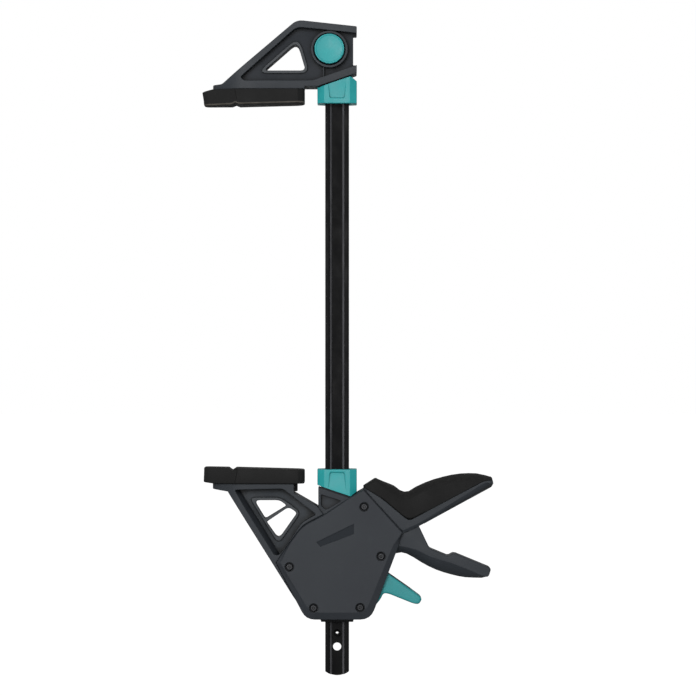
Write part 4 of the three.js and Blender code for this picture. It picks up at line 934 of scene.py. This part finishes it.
def cutGrip(bm, meets):
    for x, z in meets:
        cutFaces(bm, list(bm.faces), (x, 0, 0), (1, 0, 0))
    below = set()
    for (x, z), (farX, farZ) in zip(meets, meets[1:]):
        faces = [face for face in bm.faces if x < face.calc_center_median().x < farX]
        steepness = (farZ - z) / (farX - x)
        cut = cutFaces(bm, faces, (x, 0, z), (z - farZ, 0, farX - x))
        for face in sortOut(cut, bmesh.types.BMFace):
            middle = face.calc_center_median()
            if middle.z < z + steepness * (middle.x - x):
                below.add(face)
    bmesh.ops.delete(bm, geom=list(below), context="FACES")
    bmesh.ops.remove_doubles(bm, verts=bm.verts, dist=weld)


# The underside, with the hollow that the trigger swings into
def closeGrip(bm):
    v = gripValues
    sides = [edge for edge in openEdges(bm) if isOnSide(edge, v["halfDepth"])]
    under = bmesh.ops.bridge_loops(bm, edges=sides)["faces"]
    start, end = v["hollow"]
    hollow = [face for face in under if start < face.calc_center_median().x < end]
    bmesh.ops.recalc_face_normals(bm, faces=bm.faces)
    bmesh.ops.inset_region(bm, faces=hollow, thickness=v["hollowWall"], use_even_offset=True)
    bmesh.ops.translate(bm, vec=(0, 0, v["hollowHeight"]), verts=vertsOf(hollow))
    bmesh.ops.holes_fill(bm, edges=openEdges(bm), sides=0)


def makeGrip():
    v = gripValues
    bm = bmesh.new()
    points = [Vector(point) for point, width, depth in v["outline"]]
    addPlate(bm, points, -v["halfDepth"], v["halfDepth"])
    divideAcross(bm, v["rollSteps"])
    rollGrip(bm, points)
    cutGrip(bm, v["meets"])
    closeGrip(bm)
    finishPiece(bm, "gripPad", "carriage", "grip_pad", "gripRubber", smooth=50)


makeGrip()
print("grip made")


# Trigger: a finger beam whose underside is rolled round the finger, and its hub
triggerValues = {
    # the underside, each point with the point of the flat side that its roll starts from
    "roll": [
        ((122.4, -88.6), (122.4, -88.2)), ((118.4, -89.9), (117.2, -86.9)),
        ((111.5, -89.8), (111.5, -84.2)), ((105.0, -89.5), (104.0, -81.0)),
        ((99.0, -88.5), (98.5, -79.0)), ((94.7, -87.5), (93.3, -77.0)),
        ((87.5, -85.5), (87.0, -75.0)), ((81.2, -83.3), (81.5, -73.5)),
        ((75.0, -80.5), (75.7, -71.6)), ((69.0, -77.2), (70.5, -69.0)),
        ((62.2, -72.9), (64.8, -66.3)), ((56.8, -70.1), (58.5, -64.5)),
        ((52.7, -69.1), (52.6, -63.2)), ((47.4, -70.0), (46.5, -63.5)),
    ],
    "flat": [
        (44.0, -66.0), (47.5, -58.0), (53.5, -50.0), (66.8, -46.9), (75.2, -64.4), (76.3, -65.5),
        (89.7, -71.1), (91.6, -71.1), (94.7, -69.4), (97.4, -69.7), (124.3, -80.8), (125.3, -81.7),
        (125.3, -83.3), (124.1, -86.9),
    ],
    "hub": [
        (66.2, -47.6), (64.4, -42.1), (36.0, -46.1), (31.5, -54.0), (21.8, -51.0), (21.8, -57.6),
        (28.6, -57.1), (32.6, -60.2), (40.0, -65.6), (46.0, -65.8), (58.0, -61.5),
    ],
    "halfDepth": 11, "hubHalf": 9, "rollSteps": 13, "topRound": (0.7, 5),
    "rollTurn": 56,  # less than a right angle, which leaves a crease
}


def joins(edge, corners):
    return all(
        min((vert.co.xz - corner).length for corner in corners) < touch for vert in edge.verts
    )


def makeTrigger():
    v = triggerValues
    half = v["halfDepth"]
    bm = bmesh.new()
    outline = [outer for outer, inner in v["roll"]] + v["flat"]
    addPlate(bm, outline, -half, half)
    bmesh.ops.recalc_face_normals(bm, faces=bm.faces)
    corners = [Vector(point) for point in v["flat"][1:]]
    roundEdges(bm, lambda edge: isOnSide(edge, half) and joins(edge, corners), *v["topRound"])
    divideAcross(bm, v["rollSteps"])
    rollTurn = math.radians(v["rollTurn"])
    for outer, inner in v["roll"]:
        way = Vector(inner) - Vector(outer)
        for vert in vertsNear(bm, outer):
            turn = rollTurn * max(-1, min(1, vert.co.y / half))
            inset = (1 - math.cos(turn)) / (1 - math.cos(rollTurn))
            vert.co.x += way.x * inset
            vert.co.z += way.y * inset
            vert.co.y = half * math.sin(turn) / math.sin(rollTurn)
    addPlate(bm, v["hub"], -v["hubHalf"], v["hubHalf"])
    finishPiece(
        bm, "squeezeTrigger", "trigger", "trigger", "bodyPlastic", smooth=20,
    )


makeTrigger()
print("trigger made")


# Release lever and its strip
leverRows = [
    ("release_lever", "releaseLever", "release_lever", "turquoise_plastic", "leverPlastic", 0.4),
    ("release_lever_strip", "releaseLeverStrip", "release_lever", "black_plastic", "blackPlastic",
     0.3),
]
for leverRow in leverRows:
    softenedCopy(*leverRow)
print("release lever made")


# Cover screws: a round head with a star socket, on its shank
screwValues = {
    "places": [(22.1, -30.8), (-38.8, -79.8), (-19.1, -113.3), (18.8, -112.9), (35.8, -71.2)],
    "front": -16.5, "steps": 24,
    # radius, level behind the front
    "head": [
        (2.1, 0), (2.5, 0.3), (2.85, 0.75), (3.1, 1.3), (3.2, 1.9), (3.2, 2.2), (1.5, 2.2),
        (1.5, 12), (0, 12),
    ],
    "starReach": 1.5, "starInner": 0.95, "points": 6, "firstTurn": 15, "nextTurn": 30,
    "socketDepth": 1.1, "socketTaper": 0.12,
}


def makeScrew(number, centre):
    v = screwValues
    x, z = centre
    turn = math.radians(v["firstTurn"] + v["nextTurn"] * (number - 1))
    bm = bmesh.new()
    addTurned(bm, v["head"], centre, v["steps"], v["front"])
    bmesh.ops.remove_doubles(bm, verts=bm.verts, dist=weld)
    rim = [edge for edge in bm.edges if liesAt(edge, 1, v["front"], weld)]
    face = bmesh.ops.extrude_edge_only(bm, edges=rim)["geom"]
    star = sortOut(face, bmesh.types.BMVert)
    for vert in star:
        angle = math.atan2(vert.co.z - z, vert.co.x - x)
        wave = (1 + math.cos((angle - turn) * v["points"])) / 2
        reach = v["starInner"] + (v["starReach"] - v["starInner"]) * wave
        vert.co.x, vert.co.z = x + reach * math.cos(angle), z + reach * math.sin(angle)
    walls = bmesh.ops.extrude_edge_only(bm, edges=edgesAmong(face, star))["geom"]
    floor = sortOut(walls, bmesh.types.BMVert)
    bmesh.ops.translate(bm, vec=(0, v["socketDepth"], 0), verts=floor)
    taper = 1 - v["socketTaper"]
    middle = Matrix.Translation((-x, 0, -z))
    bmesh.ops.scale(bm, vec=(taper, 1, taper), verts=floor, space=middle)
    bmesh.ops.holes_fill(bm, edges=edgesAmong(walls, floor), sides=0)
    name, nodeName = f"coverScrew{number}", f"cover_screw_{number}"
    finishPiece(bm, name, "carriage", nodeName, "screwSteel")


for number, centre in enumerate(screwValues["places"], 1):
    makeScrew(number, centre)
print("cover screws made")


# Pieces of the frame whose shape stays: they get their finish only
keptNodes = {
    "plainSteel": [
        "lock_pin", "button_spring", "trigger_pin", "release_lever_pin", "drive_spring",
        "brake_spring", "drive_plate_1", "drive_plate_2",
    ],
    "blackSteel": ["brake_plate"],
}
for finish, nodeNames in keptNodes.items():
    for nodeName in nodeNames:
        nodeMaterials = cadNodes[nodeName].data.materials
        nodeMaterials.clear()
        nodeMaterials.append(materials[finish])
print("kept pieces finished")


# Studio: a white room for the camera, soft light from above and in front, and a pale floor
studioValues = {
    "worldStrength": 0.28, "glossShare": 0.15, "skyTint": (1, 1, 1, 1), "aim": (0.05, 0, -0.2),
    "lights": {
        "keySoftbox": {"place": (-0.35, -2.5, 0.2), "size": 1.3, "power": 46},
        "leftSoftbox": {"place": (-2.4, -0.3, 0.2), "size": 1.4, "power": 5},
        "rightSoftbox": {"place": (2.5, -0.3, 0.1), "size": 1.4, "power": 5},
        "topSoftbox": {"place": (0.1, -0.1, 1.6), "size": 1.2, "power": 3},
        "backSoftbox": {"place": (-0.4, 2.5, 0), "size": 1.6, "power": 42},
    },
    "floorLevel": -0.4674, "floorHalf": 9, "floorGrid": 8, "floorColour": (0.38, 0.38, 0.38, 1),
    "floorShare": 0.92, "floorWhite": 1.12,
}


def buildWorld():
    v = studioValues
    world = bpy.data.worlds.new("whiteRoom")
    bpy.context.scene.world = world
    world.use_nodes = True
    tree = world.node_tree
    tree.nodes.clear()
    rays = addNode(tree, "LightPath", 0, 0)
    isCamera, isThrough = rays.outputs["Is Camera Ray"], rays.outputs["Is Transmission Ray"]
    seen = addMath(tree, "MAXIMUM", 1, 0, isCamera, isThrough)
    glossy = addMath(tree, "MULTIPLY", 1, 1, rays.outputs["Is Glossy Ray"], v["glossShare"])
    either = addMath(tree, "MAXIMUM", 2, 0, seen, glossy)
    spare = addMath(tree, "MULTIPLY", 3, 0, either, 1 - v["worldStrength"])
    strength = addMath(tree, "ADD", 4, 0, spare, v["worldStrength"])
    background = addNode(tree, "Background", 5, 0)
    background.inputs["Color"].default_value = v["skyTint"]
    tree.links.new(strength, background.inputs["Strength"])
    output = addNode(tree, "OutputWorld", 6, 0)
    tree.links.new(background.outputs["Background"], output.inputs["Surface"])


def addSoftbox(name, settings):
    data = bpy.data.lights.new(name, "AREA")
    data.size = settings["size"]
    data.energy = settings["power"]
    light = bpy.data.objects.new(name, data)
    light.location = settings["place"]
    way = Vector(studioValues["aim"]) - Vector(settings["place"])
    light.rotation_euler = way.to_track_quat("-Z", "Y").to_euler()
    light.visible_camera = False
    light.visible_glossy = name != "backSoftbox"
    bpy.context.collection.objects.link(light)


def buildFloor():
    v = studioValues
    bm = bmesh.new()
    bmesh.ops.create_grid(
        bm, x_segments=v["floorGrid"], y_segments=v["floorGrid"], size=v["floorHalf"],
        matrix=Matrix.Translation((0, 0, v["floorLevel"])),
    )
    mesh = bpy.data.meshes.new("paleFloor")
    bm.to_mesh(mesh)
    bm.free()
    floor = bpy.data.objects.new("paleFloor", mesh)
    bpy.context.collection.objects.link(floor)
    material = bpy.data.materials.new("floorWhite")
    material.use_nodes = True
    tree = material.node_tree
    tree.nodes.clear()
    rays = addNode(tree, "LightPath", 0, 0)
    share = addMath(tree, "MULTIPLY", 1, 0, rays.outputs["Is Camera Ray"], v["floorShare"])
    matt = fill(addNode(tree, "BsdfDiffuse", 1, 1), Color=v["floorColour"])
    white = fill(addNode(tree, "Emission", 1, 2), Strength=v["floorWhite"])
    blend = addNode(tree, "MixShader", 2, 0)
    tree.links.new(share, blend.inputs[0])
    tree.links.new(matt.outputs["BSDF"], blend.inputs[1])
    tree.links.new(white.outputs["Emission"], blend.inputs[2])
    surface = addNode(tree, "NewGeometry", 2, 1)
    fromBelow = addNode(tree, "MixShader", 3, 0)
    tree.links.new(surface.outputs["Backfacing"], fromBelow.inputs[0])
    tree.links.new(blend.outputs["Shader"], fromBelow.inputs[1])
    clear = addNode(tree, "BsdfTransparent", 2, 2)
    tree.links.new(clear.outputs["BSDF"], fromBelow.inputs[2])
    output = addNode(tree, "OutputMaterial", 4, 0)
    tree.links.new(fromBelow.outputs["Shader"], output.inputs["Surface"])
    mesh.materials.append(material)


buildWorld()
for lightName, settings in studioValues["lights"].items():
    addSoftbox(lightName, settings)
buildFloor()
print("studio built")
